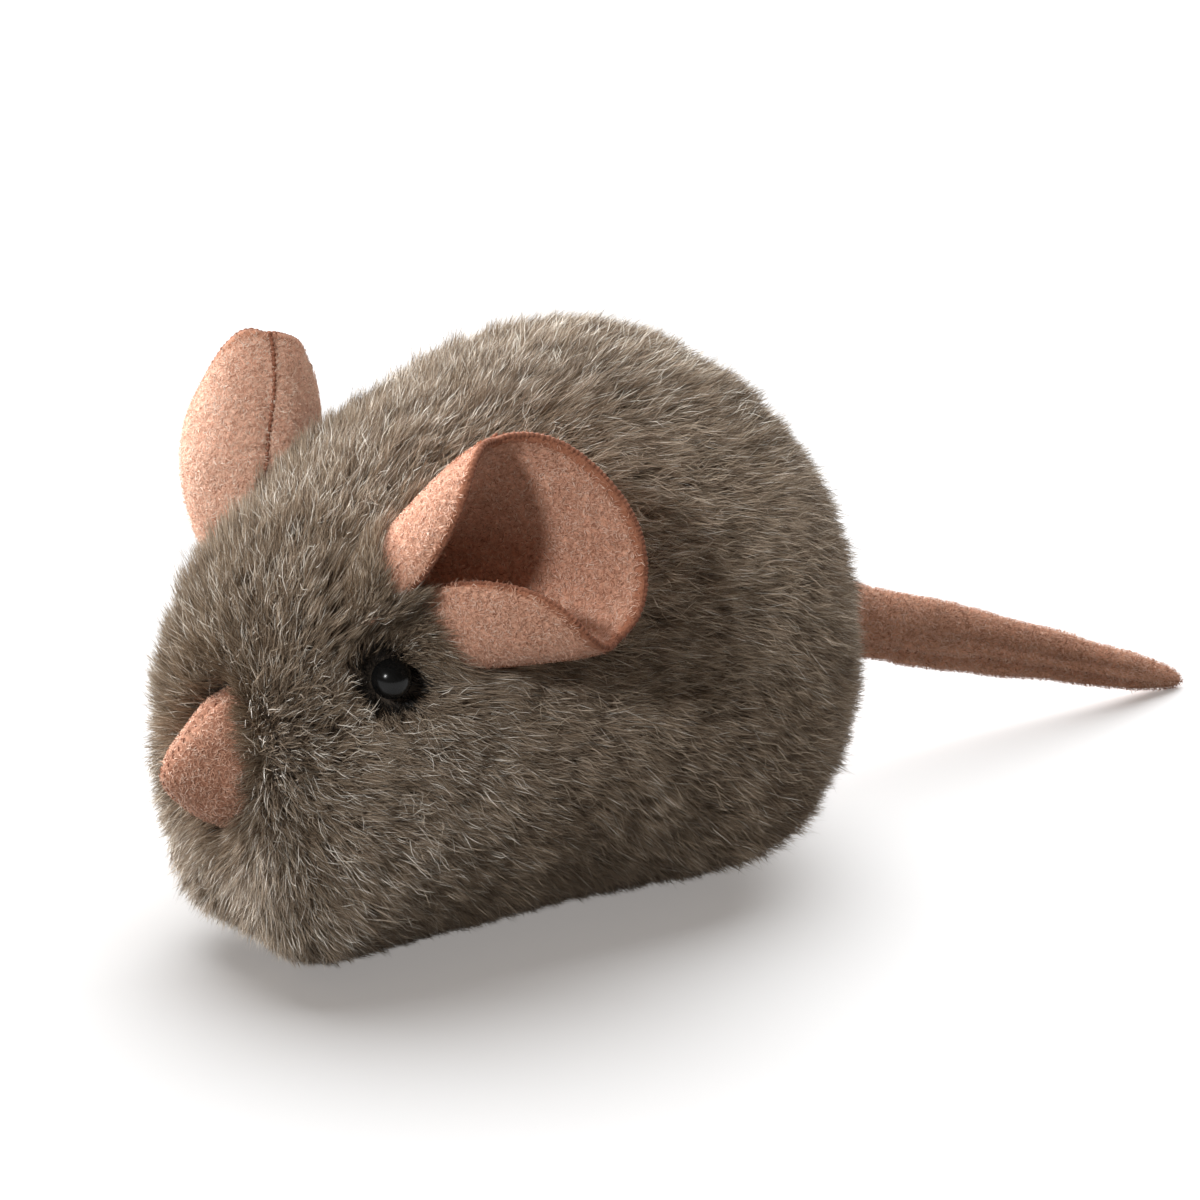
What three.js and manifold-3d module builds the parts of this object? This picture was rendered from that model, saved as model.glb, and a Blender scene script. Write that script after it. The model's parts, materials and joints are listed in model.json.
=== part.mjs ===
// Stuffed catnip mouse: faux-fur body on a flat belly, two-layer suede ears, a suede nose and tail.
// Millimetres, +Z up. The mouse faces -Y, its left side is +X, and the origin is the middle of the belly.
import * as THREE from "three";
import { mergeVertices } from "three/addons/utils/BufferGeometryUtils.js";
import Module from "manifold-3d";

const wasm = await Module();
wasm.setup();

// Body, measured over the combed fur
const bodyLength = 103;
const bodyWidth = 68;
const bodyHeight = 79;
const axisHeight = 33; // height of the line from the nose to the tail
const widestFromNose = 78;
const highestFromNose = 63;
const bellyTuck = 2; // how far the round underside would reach below the flat belly
const furThickness = 4; // backing cloth and combed pile
const bellyThickness = 3;
const muzzleDimple = 5; // the nose is sewn into this hollow
const dimpleWidth = 7;
const dimpleHeight = 11;
const chinGroove = 2.4;
const chinGrooveWidth = 3;
const chinGrooveFade = 12; // full below this height, and gone above the next
const chinGrooveTop = 26;

// Clearances and thread
const gap = 0.3; // between pieces that touch on the real toy
const threadRadius = 0.3;
const channelRadius = threadRadius + gap;

// Nose
const noseLength = 12.7;
const noseHeight = 20;
const noseWidth = 13.5;
const noseBeyondFace = 5.7;
const noseTipFromOrigin = bodyLength / 2 + noseBeyondFace;
const noseRise = 31; // height of the middle of the nose
const suedeThickness = 1;

// Eyes
const eyeDiameter = 5.4;
const eyeBackShare = 0.7; // of the radius, to the flat back
const eyeBehindFace = 15.9;
const eyeFromOrigin = bodyLength / 2 - eyeBehindFace; // forward of the origin
const eyeRise = 46.7;
const eyePit = 2.2; // depth of the short-clipped ring that the bead sits in
const eyePitRadius = 3.6;
const shankRadius = 1;
const shankLength = 6.2;
const washerRadius = 4.2;
const washerThickness = 1.2;

// Ears: a disc of two layers rolled into a cup, so that straight lines run from a point inside the head
// to the rim. Angles are round that point, from the direction along the ear, in degrees.
const earPointAside = 2.3;
const earPointBehindFace = 13.7;
const earPointRise = 43.1;
const earTurn = 46.1; // of the ear from straight back towards the side, degrees
const earDroop = 2.5; // below level, degrees
const earRoll = -2.6;
const earDiscAlong = 27.4; // middle of the disc from the point
const earDiscUp = 16.8;
const earDiscRadius = 20.5;
const earFront = { fold: 54.5, bend: 122, softness: 30, flap: 28.5, round: 2.48 };
const earLower = { fold: 9.9, bend: 168, softness: 34, flap: 34, round: 2.94 };
const earFrontHinge = 25; // along the folds, from the point to the line that the ear turns on
const earLowerHinge = 33;
const earPinch = 15.2; // from the point to where the folded edges would meet
const earRootReach = 20.5; // from the point to the start of the sheet
const earFlapTip = 0.14; // share of the reach left at the edge of a flap
const earFlapCurve = 0.8;
const earLayer = 0.9;
const earStitchRadius = 0.6;
const earFold = 14; // hinge range forward and back, degrees
const earDartFrom = 29; // along the front fold, from the point
const earDartTo = 44;
const earAnchorReach = 28.5;
const earAnchorShare = 0.6; // of the width of the flat
const earPocketReach = 56;
const earPocketBeyond = 5; // degrees beyond the edges of the flaps

// Tail
const tailRootInside = 3.9; // the hinge point lies this far inside the rump
const tailRootFromOrigin = bodyLength / 2 - tailRootInside;
const tailRootRise = 31;
const tailReach = 78.9; // from the hinge to the tip, along Y
const tailBend = 3.9; // of the tip to the left, as it lies
const tailRootHalfHeight = 5.75;
const tailRootHalfWidth = 3.75;
const tailTipHalfHeight = 1.9;
const tailTipHalfWidth = 1.75;
const tailTipRise = 0.93; // of the very end, which the round of the tip lifts off the floor
const tailSwing = 35; // hinge range to each side, degrees
const tailLift = 40;
const tailSeamAngle = -35; // of the seam round the tail, from the left side, degrees

// Catnip pouch
const pouchLength = 46;
const pouchRadius = 12;
const pouchCloth = 0.7;
const pouchNeck = 2.6;
const pouchFromOrigin = 4;
const pouchRound = { run: 2.2, rise: 0.6 };
const pouchFill = 0.9; // share of the pouch's length that the leaf reaches

// Faces
const bodyStations = 24;
const bodySides = 32;
const innerStations = 16;
const innerSides = 20;
const tubeSides = 6;
const roundSides = 14;

const degree = Math.PI / 180;

function clamp01(value) {
  return Math.min(1, Math.max(0, value));
}

function ramp(from, to, value) {
  const share = clamp01((value - from) / (to - from));
  return share * share * (3 - 2 * share);
}

function signedPower(value, power) {
  return Math.sign(value) * Math.pow(Math.abs(value), power);
}

// Solids
function solidOf(geometry) {
  const bare = new THREE.BufferGeometry();
  bare.setAttribute("position", geometry.getAttribute("position"));
  bare.setIndex(geometry.getIndex());
  const merged = mergeVertices(bare, 1e-4);
  const corners = merged.index.array;
  const faces = [];
  for (let face = 0; face < corners.length; face += 3) {
    const [a, b, c] = corners.subarray(face, face + 3);
    if (a !== b && b !== c && c !== a) faces.push(a, b, c);
  }
  const mesh = new wasm.Mesh({
    numProp: 3,
    vertProperties: new Float32Array(merged.attributes.position.array),
    triVerts: new Uint32Array(faces),
  });
  return new wasm.Manifold(mesh);
}

function geometryOf(solid) {
  const mesh = solid.getMesh();
  const geometry = new THREE.BufferGeometry();
  geometry.setAttribute("position", new THREE.BufferAttribute(mesh.vertProperties, 3));
  geometry.setIndex(new THREE.BufferAttribute(mesh.triVerts, 1));
  geometry.computeVertexNormals();
  return geometry;
}

// The same solid on the other side of the body
function mirror(solid) {
  const geometry = geometryOf(solid);
  geometry.scale(-1, 1, 1);
  const corners = geometry.getIndex().array;
  for (let face = 0; face < corners.length; face += 3) {
    [corners[face + 1], corners[face + 2]] = [corners[face + 2], corners[face + 1]];
  }
  return solidOf(geometry);
}

// What is left of a solid after its cuts, without the slivers that curved cuts leave beside it
function cut(solid, ...tools) {
  const left = tools.reduce((body, tool) => body.subtract(tool), solid);
  return left.decompose().reduce((most, body) => (body.volume() > most.volume() ? body : most));
}

// A closed skin over rings of points, each ring closed on itself, with a strip of faces across both ends.
// The two halves of a ring are split the same way, so that the layers of a sheet keep their distance.
function loftGeometry(rings) {
  const sides = rings[0].length;
  const positions = rings.flat().flatMap((point) => [point.x, point.y, point.z]);
  const faces = [];
  for (let side = 0; side < sides; side++) {
    const next = (side + 1) % sides;
    for (let row = 0; row + 1 < rings.length; row++) {
      const a = row * sides + side;
      const b = row * sides + next;
      if (side < sides / 2) faces.push(a, b, b + sides, a, b + sides, a + sides);
      else faces.push(a, b, a + sides, b, b + sides, a + sides);
    }
  }
  const top = (rings.length - 1) * sides;
  for (let near = 0; near + 1 < sides - 1 - near; near++) {
    const across = sides - 1 - near;
    faces.push(near + 1, near, across, top + near, top + near + 1, top + across);
    if (near + 1 === across - 1) continue;
    faces.push(near + 1, across, across - 1, top + near + 1, top + across - 1, top + across);
  }
  const geometry = new THREE.BufferGeometry();
  geometry.setAttribute("position", new THREE.Float32BufferAttribute(positions, 3));
  geometry.setIndex(faces);
  return geometry;
}

function loft(rings) {
  return solidOf(loftGeometry(rings));
}

function box(low, high) {
  const size = high.clone().sub(low);
  const geometry = new THREE.BoxGeometry(size.x, size.y, size.z);
  geometry.translate((low.x + high.x) / 2, (low.y + high.y) / 2, (low.z + high.z) / 2);
  return solidOf(geometry);
}

function tube(points, radius, steps, sides = tubeSides) {
  const section = new THREE.Shape();
  for (let side = 0; side < sides; side++) {
    const angle = (side / sides) * 2 * Math.PI;
    const x = radius * Math.cos(angle);
    const y = radius * Math.sin(angle);
    if (side === 0) section.moveTo(x, y);
    else section.lineTo(x, y);
  }
  const path = new THREE.CatmullRomCurve3(points);
  const geometry = new THREE.ExtrudeGeometry(section, { steps, extrudePath: path, bevelEnabled: false });
  return solidOf(geometry);
}

function revolve(profile, segments, matrix) {
  const points = profile.map(([radius, height]) => new THREE.Vector2(radius, height));
  const geometry = new THREE.LatheGeometry(points, segments);
  geometry.applyMatrix4(matrix);
  return solidOf(geometry);
}

// A frame whose local Y runs along a direction, at a point
function along(direction, point) {
  const turn = new THREE.Quaternion().setFromUnitVectors(new THREE.Vector3(0, 1, 0), direction);
  return new THREE.Matrix4().compose(point, turn, new THREE.Vector3(1, 1, 1));
}

function turned(solid, axis, angle, point) {
  const matrix = new THREE.Matrix4().makeTranslation(point.x, point.y, point.z);
  matrix.multiply(new THREE.Matrix4().makeRotationAxis(axis, angle));
  matrix.multiply(new THREE.Matrix4().makeTranslation(-point.x, -point.y, -point.z));
  return solid.transform(matrix.elements);
}

// Body form: half-width, rise and drop of a cross-section at a share of the length from the nose
function swell(share, peak, front, back) {
  const before = share < peak;
  const away = before ? (peak - share) / peak : (share - peak) / (1 - peak);
  const shape = before ? front : back;
  return Math.pow(Math.max(0, 1 - Math.pow(away, shape.run)), 1 / shape.rise);
}

const bluntFace = { run: 1.7, rise: 3.2 };
const slopingBrow = { run: 1.73, rise: 2.05 };
const roundRump = { run: 1.95, rise: 2 };
const fullChin = { run: 6, rise: 2 };
const tuckedRump = { run: 3, rise: 2 };
const upperRound = 0.95;
const lowerRoundFace = 0.6;
const lowerRoundMiddle = 1.3;
const lowerRoundRump = 0.8;

// The flanks tuck under most in the middle and stand fuller at the chin and the rump
function lowerRoundAt(share) {
  const tucked = (lowerRoundMiddle - lowerRoundFace) * ramp(0, 0.27, share);
  const fuller = (lowerRoundRump - lowerRoundMiddle) * ramp(0.49, 0.83, share);
  return lowerRoundFace + tucked + fuller;
}

function sectionAt(share, inset) {
  const half = bodyWidth / 2 - inset;
  const rise = bodyHeight - axisHeight - inset;
  const drop = axisHeight + bellyTuck;
  return {
    half: half * swell(share, widestFromNose / bodyLength, bluntFace, roundRump),
    rise: rise * swell(share, highestFromNose / bodyLength, slopingBrow, roundRump),
    drop: drop * swell(share, 0.5, fullChin, tuckedRump),
  };
}

// The nose hollow and the groove of the chin seam draw the face back along Y
function faceHollow(x, z) {
  const across = Math.exp(-((x / dimpleWidth) ** 2) / 2);
  const up = Math.exp(-(((z - noseRise) / dimpleHeight) ** 2) / 2);
  const groove = Math.exp(-((x / chinGrooveWidth) ** 2) / 2) * (1 - ramp(chinGrooveFade, chinGrooveTop, z));
  return Math.max(muzzleDimple * across * up, chinGroove * groove);
}

function bodyPoint(share, angle, inset) {
  const section = sectionAt(share, inset);
  const upper = Math.sin(angle) > 0;
  const power = upper ? upperRound : lowerRoundAt(share);
  const x = section.half * signedPower(Math.cos(angle), power);
  const lift = signedPower(Math.sin(angle), power) * (upper ? section.rise : section.drop);
  const z = axisHeight + lift;
  const y = (share - 0.5) * (bodyLength - 2 * inset);
  return new THREE.Vector3(x, y + faceHollow(x, z) * (1 - ramp(0, 0.25, share)), z);
}

function bodyForm(inset, stations = innerStations, sides = innerSides) {
  const rings = [];
  for (let station = 0; station <= stations; station++) {
    const share = (1 - Math.cos((Math.PI * (station + 0.25)) / (stations + 0.5))) / 2;
    const ring = [];
    for (let side = 0; side < sides; side++) {
      ring.push(bodyPoint(share, (-2 * Math.PI * side) / sides, inset));
    }
    rings.push(ring);
  }
  return loft(rings);
}

// Point on the left flank at a distance along Y and a height, with the way out of the fur
function flankX(y, z, inset) {
  const share = y / (bodyLength - 2 * inset) + 0.5;
  const section = sectionAt(share, inset);
  const upper = z > axisHeight;
  const power = upper ? upperRound : lowerRoundAt(share);
  const lift = Math.abs(z - axisHeight) / (upper ? section.rise : section.drop);
  const sine = Math.pow(clamp01(lift), 1 / power);
  return section.half * Math.pow(1 - sine * sine, power / 2);
}

function flankOut(y, z) {
  const step = 0.5;
  const slopeY = (flankX(y + step, z, 0) - flankX(y - step, z, 0)) / (2 * step);
  const slopeZ = (flankX(y, z + step, 0) - flankX(y, z - step, 0)) / (2 * step);
  return new THREE.Vector3(1, -slopeY, -slopeZ).normalize();
}

const far = 200;
const aboveFloor = box(new THREE.Vector3(-far, -far, 0), new THREE.Vector3(far, far, far));
const leftOfSeam = box(new THREE.Vector3(gap / 2, -far, -far), new THREE.Vector3(far, far, far));
const furOuter = bodyForm(0, bodyStations, bodySides);
const furInner = bodyForm(furThickness);

// Ear frame: along the ear, out of its mouth, and up
const earAlong = new THREE.Vector3(
  Math.cos(earDroop * degree) * Math.sin(earTurn * degree),
  Math.cos(earDroop * degree) * Math.cos(earTurn * degree),
  -Math.sin(earDroop * degree),
);
const earOut = new THREE.Vector3(0, -1, 0);
earOut.addScaledVector(earAlong, -earOut.dot(earAlong)).normalize();
earOut.applyAxisAngle(earAlong, earRoll * degree);
const earUp = new THREE.Vector3().crossVectors(earOut, earAlong);
const earApex = new THREE.Vector3(earPointAside, earPointBehindFace - bodyLength / 2, earPointRise);

// Distance from the point to the edge of the disc at an angle
function earDiscReach(angle) {
  const away = earDiscAlong * Math.cos(angle) + earDiscUp * Math.sin(angle);
  const off = earDiscAlong ** 2 + earDiscUp ** 2 - earDiscRadius ** 2;
  return away + Math.sqrt(away * away - off);
}

// Lines of one half of the ear, from the middle of its flat to the edge of its flap
function earHalf(edge, sign, steps) {
  const middle = ((earFront.fold + earLower.fold) / 2) * degree;
  const fold = edge.fold * degree;
  const flat = Math.abs(fold - middle);
  const step = (flat + edge.flap * degree) / steps;
  const soft = (edge.softness * degree) / 2;
  const line = earAlong.clone().multiplyScalar(Math.cos(middle)).addScaledVector(earUp, Math.sin(middle));
  const inward = earOut.clone();
  const lines = [];
  for (let index = 0; index <= steps; index++) {
    const turn = index * step;
    const beyond = turn - flat;
    const share = clamp01(beyond / (edge.flap * degree));
    const taper = Math.pow(1 - Math.pow(share, edge.round) * (1 - earFlapTip), earFlapCurve);
    const whole = earDiscReach(beyond < 0 ? middle + sign * turn : fold);
    const reach = earPinch + (whole - earPinch) * (beyond < 0 ? 1 : taper);
    lines.push({ line: line.clone(), inward: inward.clone(), reach });
    const bend = ramp(-soft, soft, beyond + step) - ramp(-soft, soft, beyond);
    line.applyAxisAngle(inward, sign * step);
    inward.applyAxisAngle(line, sign * bend * edge.bend * degree);
  }
  return lines;
}

function earLines(steps, beyond = 0) {
  const lower = { ...earLower, flap: earLower.flap + beyond };
  const front = { ...earFront, flap: earFront.flap + beyond };
  return [...earHalf(lower, -1, steps).reverse(), ...earHalf(front, 1, steps).slice(1)];
}

function earAt({ line, inward }, reach, offset) {
  return earApex.clone().addScaledVector(line, reach).addScaledVector(inward, -offset);
}

// A layer of the ear between two offsets from its middle surface
const earSteps = 16;

function earLayerForm(inner, outer) {
  const rings = earLines(earSteps).map((ray) => [
    earAt(ray, earRootReach, inner),
    earAt(ray, ray.reach, inner),
    earAt(ray, ray.reach, outer),
    earAt(ray, earRootReach, outer),
  ]);
  return loft(rings);
}

// The hinge of the fold runs through the root, between the two folds
function earFlatAt(angle, reach, offset) {
  const line = earAlong.clone().multiplyScalar(Math.cos(angle * degree));
  line.addScaledVector(earUp, Math.sin(angle * degree));
  return earAt({ line, inward: earOut }, reach, offset);
}

const earHingePoint = earFlatAt(earLower.fold, earLowerHinge, 0);
const earHingeAxis = earFlatAt(earFront.fold, earFrontHinge, 0).sub(earHingePoint).normalize();

// Threads of the ear: overcast rim, the dart sewn down the front fold, and the stitches that hold the root
const earOutside = gap / 2 + earLayer;
const earRays = earLines(earSteps);
const earRim = earRays.map((ray) => earAt(ray, ray.reach + gap + earStitchRadius, 0));
const earRimSteps = 48;
const earThreadSteps = 8;
const earThreadShares = Array.from({ length: earThreadSteps + 1 }, (_, step) => step / earThreadSteps);
const earThreadOut = earOutside + gap + threadRadius;
const earDartRay = earHalf(earFront, 1, earSteps)[earSteps / 2];
const earDartPath = earThreadShares.map((share) =>
  earAt(earDartRay, earDartFrom + (earDartTo - earDartFrom) * share, earThreadOut),
);
const earAnchorPath = earThreadShares.map((share) => {
  const middle = (earFront.fold + earLower.fold) / 2;
  const angle = middle + (share - 0.5) * (earFront.fold - earLower.fold) * earAnchorShare;
  return earFlatAt(angle, earAnchorReach, earThreadOut);
});

// Room for the ear through its whole fold: the cup with its inside, turned about the hinge
function earRoom() {
  const clear = earOutside + 3 * gap;
  const steps = 6;
  const rays = earLines(steps, earPocketBeyond);
  const rings = [earRootReach - 2 * gap, earPocketReach].map((reach) =>
    rays.map((ray) => earAt(ray, reach, clear)),
  );
  const form = loft(rings).add(tube(earAnchorPath, channelRadius, earThreadSteps));
  return [-earFold, earFold].reduce(
    (room, angle) => room.add(turned(form, earHingeAxis, angle * degree, earHingePoint)),
    form,
  );
}

const earRimChannel = tube(earRim, earStitchRadius + gap, earRimSteps);
const earBack = cut(earLayerForm(gap / 2, earOutside), earRimChannel);
const earLining = cut(earLayerForm(-earOutside, -gap / 2), earRimChannel);
const earStitching = tube(earRim, earStitchRadius, earRimSteps);
const earDartStitching = tube(earDartPath, threadRadius, earThreadSteps);
const earAnchorStitches = tube(earAnchorPath, threadRadius, earThreadSteps);

// Nose: a blunt cone of two suede halves, sewn on a ridge down the middle
const noseBase = noseLength - noseTipFromOrigin;

const noseSlope = 1.5;
const noseBlunt = 0.75;

function noseTaper(share) {
  return Math.pow(1 - Math.pow(share, noseSlope), noseBlunt);
}

function nosePoint(share, angle, inset) {
  const taper = noseTaper(share);
  const x = (noseWidth / 2 - inset) * taper * Math.cos(angle);
  const z = noseRise + (noseHeight / 2 - inset) * taper * Math.sin(angle);
  return new THREE.Vector3(x, noseBase - (noseLength - inset) * share, z);
}

function noseForm(inset, baseReach) {
  const shares = [0.99, 0.94, 0.85, 0.72, 0.55, 0.36, 0.18, 0];
  const sides = 16;
  const ring = (share) =>
    Array.from({ length: sides }, (_, side) => nosePoint(share, (-2 * Math.PI * side) / sides, inset));
  const rings = shares.map(ring);
  if (baseReach > 0) rings.push(ring(0).map((point) => point.setY(noseBase + baseReach)));
  return loft(rings);
}

const noseRoom = noseForm(-gap, gap);
const noseSeamInset = suedeThickness / 2;
const noseSeamShares = [0.04, 0.2, 0.4, 0.6, 0.78, 0.9];
const noseSeamPath = [
  ...noseSeamShares.map((share) => nosePoint(share, Math.PI / 2, noseSeamInset)),
  nosePoint(1, 0, noseSeamInset),
  ...noseSeamShares.map((share) => nosePoint(share, -Math.PI / 2, noseSeamInset)).reverse(),
];
const noseSeamSteps = 18;
const noseSeam = tube(noseSeamPath, threadRadius, noseSeamSteps);
const noseSeamChannel = tube(noseSeamPath, channelRadius, noseSeamSteps);
const noseHalf = cut(
  noseForm(0, 0).intersect(leftOfSeam),
  noseForm(suedeThickness, suedeThickness),
  noseSeamChannel,
);
const noseFilling = noseForm(suedeThickness + gap, 0);

// Eyes: a bead on a shank through the fur, locked by a washer inside
const eyePoint = new THREE.Vector3(flankX(-eyeFromOrigin, eyeRise, 0), -eyeFromOrigin, eyeRise);
const eyeFrame = along(flankOut(-eyeFromOrigin, eyeRise), eyePoint);
const eyeRadius = eyeDiameter / 2;
const eyeSeat = gap - eyePit;
const beadBack = eyeBackShare * eyeRadius; // from the middle of the bead to its flat back
const washerTop = -furThickness - gap;

function eyeBead() {
  const steps = 8;
  const start = Math.acos(-beadBack / eyeRadius);
  const dome = Array.from({ length: steps }, (_, step) => {
    const angle = start * (1 - step / steps);
    return [eyeRadius * Math.sin(angle), eyeSeat + beadBack + eyeRadius * Math.cos(angle)];
  });
  const foot = eyeSeat - shankLength;
  return revolve(
    [[0, foot], [shankRadius, foot], [shankRadius, eyeSeat], ...dome, [0, eyeSeat + beadBack + eyeRadius]],
    roundSides,
    eyeFrame,
  );
}

function ring(inner, outer, low, high) {
  const profile = [[inner, low], [outer, low], [outer, high], [inner, high], [inner, low]];
  return revolve(profile, roundSides, eyeFrame);
}

function plug(radius, low, high) {
  return revolve([[0, low], [radius, low], [radius, high], [0, high]], roundSides, eyeFrame);
}

const eyeWasher = ring(shankRadius + gap, washerRadius, washerTop - washerThickness, washerTop);
const eyeRoom = plug(eyePitRadius, -eyePit, eyePit * 4)
  .add(plug(shankRadius + gap, eyeSeat - shankLength - gap, 0))
  .add(plug(washerRadius + gap, washerTop - washerThickness - gap, washerTop + gap));

// Tail: a tapered, flattened sleeve with a round root in the back seam, lying down to the floor
const tailRoot = new THREE.Vector3(0, tailRootFromOrigin, tailRootRise);
const tailBendCurve = 2.2;
const tailTaper = 1.63;
const tailTipShare = 0.092; // of the length, rounded off

function tailMiddle(share) {
  const x = tailBend * Math.pow(share, tailBendCurve);
  const z = tailRootRise + (tailTipRise - tailRootRise) * share;
  return new THREE.Vector3(x, tailRootFromOrigin + tailReach * share, z);
}

function tailHeading(share) {
  const step = 0.01;
  const from = tailMiddle(Math.max(0, share - step));
  return tailMiddle(Math.min(1, share + step)).sub(from).normalize();
}

const tailStart = tailHeading(0);

function tailPoint(share, angle, inset) {
  const thinning = Math.pow(share, tailTaper);
  const intoTip = clamp01((share - 1 + tailTipShare) / tailTipShare);
  const tipRound = Math.sqrt(1 - intoTip * intoTip);
  const half = (root, tip) => (root + (tip - root) * thinning - inset) * tipRound;
  const heading = tailHeading(share);
  const up = new THREE.Vector3(0, -heading.z, heading.y);
  const point = tailMiddle(share);
  point.x += half(tailRootHalfWidth, tailTipHalfWidth) * Math.cos(angle);
  return point.addScaledVector(up, half(tailRootHalfHeight, tailTipHalfHeight) * Math.sin(angle));
}

function tailForm(inset) {
  const sides = 12;
  const angles = Array.from({ length: sides }, (_, side) => (-2 * Math.PI * side) / sides);
  const balls = [75, 50, 25].map((back) =>
    angles.map((angle) => {
      const middle = tailPoint(0, 0, inset).setX(0);
      const point = tailPoint(0, angle, inset).sub(middle).multiplyScalar(Math.cos(back * degree));
      const reach = (tailRootHalfHeight - inset) * Math.sin(back * degree);
      return point.add(middle).addScaledVector(tailStart, -reach);
    }),
  );
  const shares = [0, 0.1, 0.2, 0.3, 0.4, 0.5, 0.6, 0.7, 0.8, 0.9, 0.945, 0.972, 0.988, 0.997];
  const last = 1 - inset / tailReach;
  const rings = shares.map((share) => angles.map((angle) => tailPoint(share * last, angle, inset)));
  return loft([...balls, ...rings]);
}

const tailSeamShares = [0.07, 0.2, 0.35, 0.5, 0.65, 0.8, 0.93];
const tailSeamPath = tailSeamShares.map((share) =>
  tailPoint(share, tailSeamAngle * degree, suedeThickness / 2),
);
const tailSeamSteps = 18;
const tailSeam = tube(tailSeamPath, threadRadius, tailSeamSteps);
const tailSleeve = cut(
  tailForm(0),
  tailForm(suedeThickness),
  tube(tailSeamPath, channelRadius, tailSeamSteps),
).intersect(aboveFloor);
const tailFilling = tailForm(suedeThickness + gap);

// Anchor stitches: a loop behind the round root, where the tail is sewn to the seam allowance
const tailAnchorBack = 45; // degrees round the ball of the root
const tailAnchorSteps = 22;

function tailAnchorPath() {
  const back = tailAnchorBack * degree;
  const off = gap + threadRadius;
  const up = new THREE.Vector3(0, -tailStart.z, tailStart.y);
  const middle = tailRoot.clone().addScaledVector(tailStart, -(tailRootHalfHeight + off) * Math.sin(back));
  const turns = 14;
  return Array.from({ length: turns }, (_, turn) => {
    const angle = (2 * Math.PI * (turn + 0.2)) / (turns - 0.4);
    const point = middle.clone();
    point.x += (tailRootHalfWidth + off) * Math.cos(back) * Math.sin(angle);
    return point.addScaledVector(up, (tailRootHalfHeight + off) * Math.cos(back) * Math.cos(angle));
  });
}

const tailAnchor = tube(tailAnchorPath(), threadRadius, tailAnchorSteps);

// Room for the root of the tail through its whole swing and lift
function tailRoom() {
  const ball = tailRootHalfHeight + 2 * channelRadius + gap;
  const lifted = (tailLift / 2) * degree;
  const swung = tailSwing * degree;
  const clear = 3 * gap;
  const sides = 20;
  const reaches = [-0.98, -0.85, -0.6, -0.3, 0, 0.5, 1, 2].map((share) => share * ball);
  const rings = reaches.map((reach) => {
    const round = Math.sqrt(Math.max(0, ball * ball - reach * reach));
    const sideways = (tailRootHalfWidth + clear) / Math.cos(swung) + reach * Math.tan(swung);
    const upright = (tailRootHalfHeight + clear) / Math.cos(lifted) + reach * Math.tan(lifted);
    const funnel = reach > -0.5 * ball;
    const halfX = funnel ? Math.max(round, sideways) : round;
    const halfZ = funnel ? Math.max(round, upright) : round;
    return Array.from({ length: sides }, (_, side) => {
      const angle = (-2 * Math.PI * side) / sides;
      const power = funnel ? 0.8 : 1;
      const x = halfX * signedPower(Math.cos(angle), power);
      const z = halfZ * signedPower(Math.sin(angle), power);
      return new THREE.Vector3(x, tailRootFromOrigin + reach, tailRootRise + z);
    });
  });
  return loft(rings);
}

// Seams of the body, in the middle of the fur's thickness
const seamInset = furThickness / 2;
const seamStations = 60;
const seamShares = Array.from(
  { length: seamStations + 1 },
  (_, step) => (1 - Math.cos((Math.PI * step) / seamStations)) / 2,
);

function seamPath(angle, shown) {
  return seamShares.map((share) => bodyPoint(share, angle, seamInset)).filter(shown);
}

const tailClear = 12; // the seams stop this far above and below the tail's root
const noseClear = noseHeight / 2 + 2;
const backPath = seamPath(Math.PI / 2, ({ y, z }) => {
  return z > (y < 0 ? noseRise + noseClear : tailRootRise + tailClear);
});
const chinPath = seamPath(-Math.PI / 2, ({ y, z }) => y < 0 && z > 1 && z < noseRise - noseClear);
const rumpPath = seamPath(-Math.PI / 2, ({ y, z }) => y > 0 && z > 1 && z < tailRootRise - tailClear);

const bellySeamWidth = 2 * channelRadius;
const bellySeamInset = furThickness + channelRadius;

function bellyEdge(share) {
  const { drop } = sectionAt(share, bellySeamInset);
  const lift = (axisHeight - bellyThickness / 2) / drop;
  const angle = -Math.asin(Math.pow(clamp01(lift), 1 / lowerRoundAt(share)));
  return bodyPoint(share, angle, bellySeamInset);
}

function bellyEnd(from, to) {
  let short = from;
  let reach = to;
  for (let step = 0; step < 30; step++) {
    const middle = (short + reach) / 2;
    if (sectionAt(middle, bellySeamInset).drop > axisHeight - bellyThickness / 2) short = middle;
    else reach = middle;
  }
  return short;
}

function bellyPath() {
  const front = bellyEnd(0.5, 0);
  const rear = bellyEnd(0.5, 1);
  const steps = 20;
  const side = Array.from({ length: steps }, (_, step) => {
    const turn = (Math.PI * (step + 0.5)) / (steps + 0.1);
    return bellyEdge(front + ((rear - front) * (1 - Math.cos(turn))) / 2);
  });
  const other = side.map((point) => point.clone().setX(-point.x));
  return [...side.slice().reverse(), ...other];
}

// Catnip pouch, pushed in last through the belly seam, with its gathered neck to the rear
const pouchMiddle = new THREE.Vector3(0, pouchFromOrigin, bellyThickness + gap + pouchRadius);
const pouchFrame = new THREE.Matrix4().makeTranslation(pouchMiddle);
const pouchHalf = pouchLength / 2;

function pouchRadiusAt(along, inset) {
  const share = clamp01(Math.abs(along) / (pouchHalf - inset));
  return (pouchRadius - inset) * Math.pow(1 - Math.pow(share, pouchRound.run), pouchRound.rise);
}

function pouchProfile(inset, neck) {
  const steps = 10;
  const points = [[0, inset - pouchHalf]];
  for (let step = 1; step < steps; step++) {
    const along = -(pouchHalf - inset) * Math.cos((Math.PI * step) / steps);
    const radius = pouchRadiusAt(along, inset);
    if (along < 0 || radius > neck) points.push([radius, along]);
  }
  return points;
}

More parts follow.
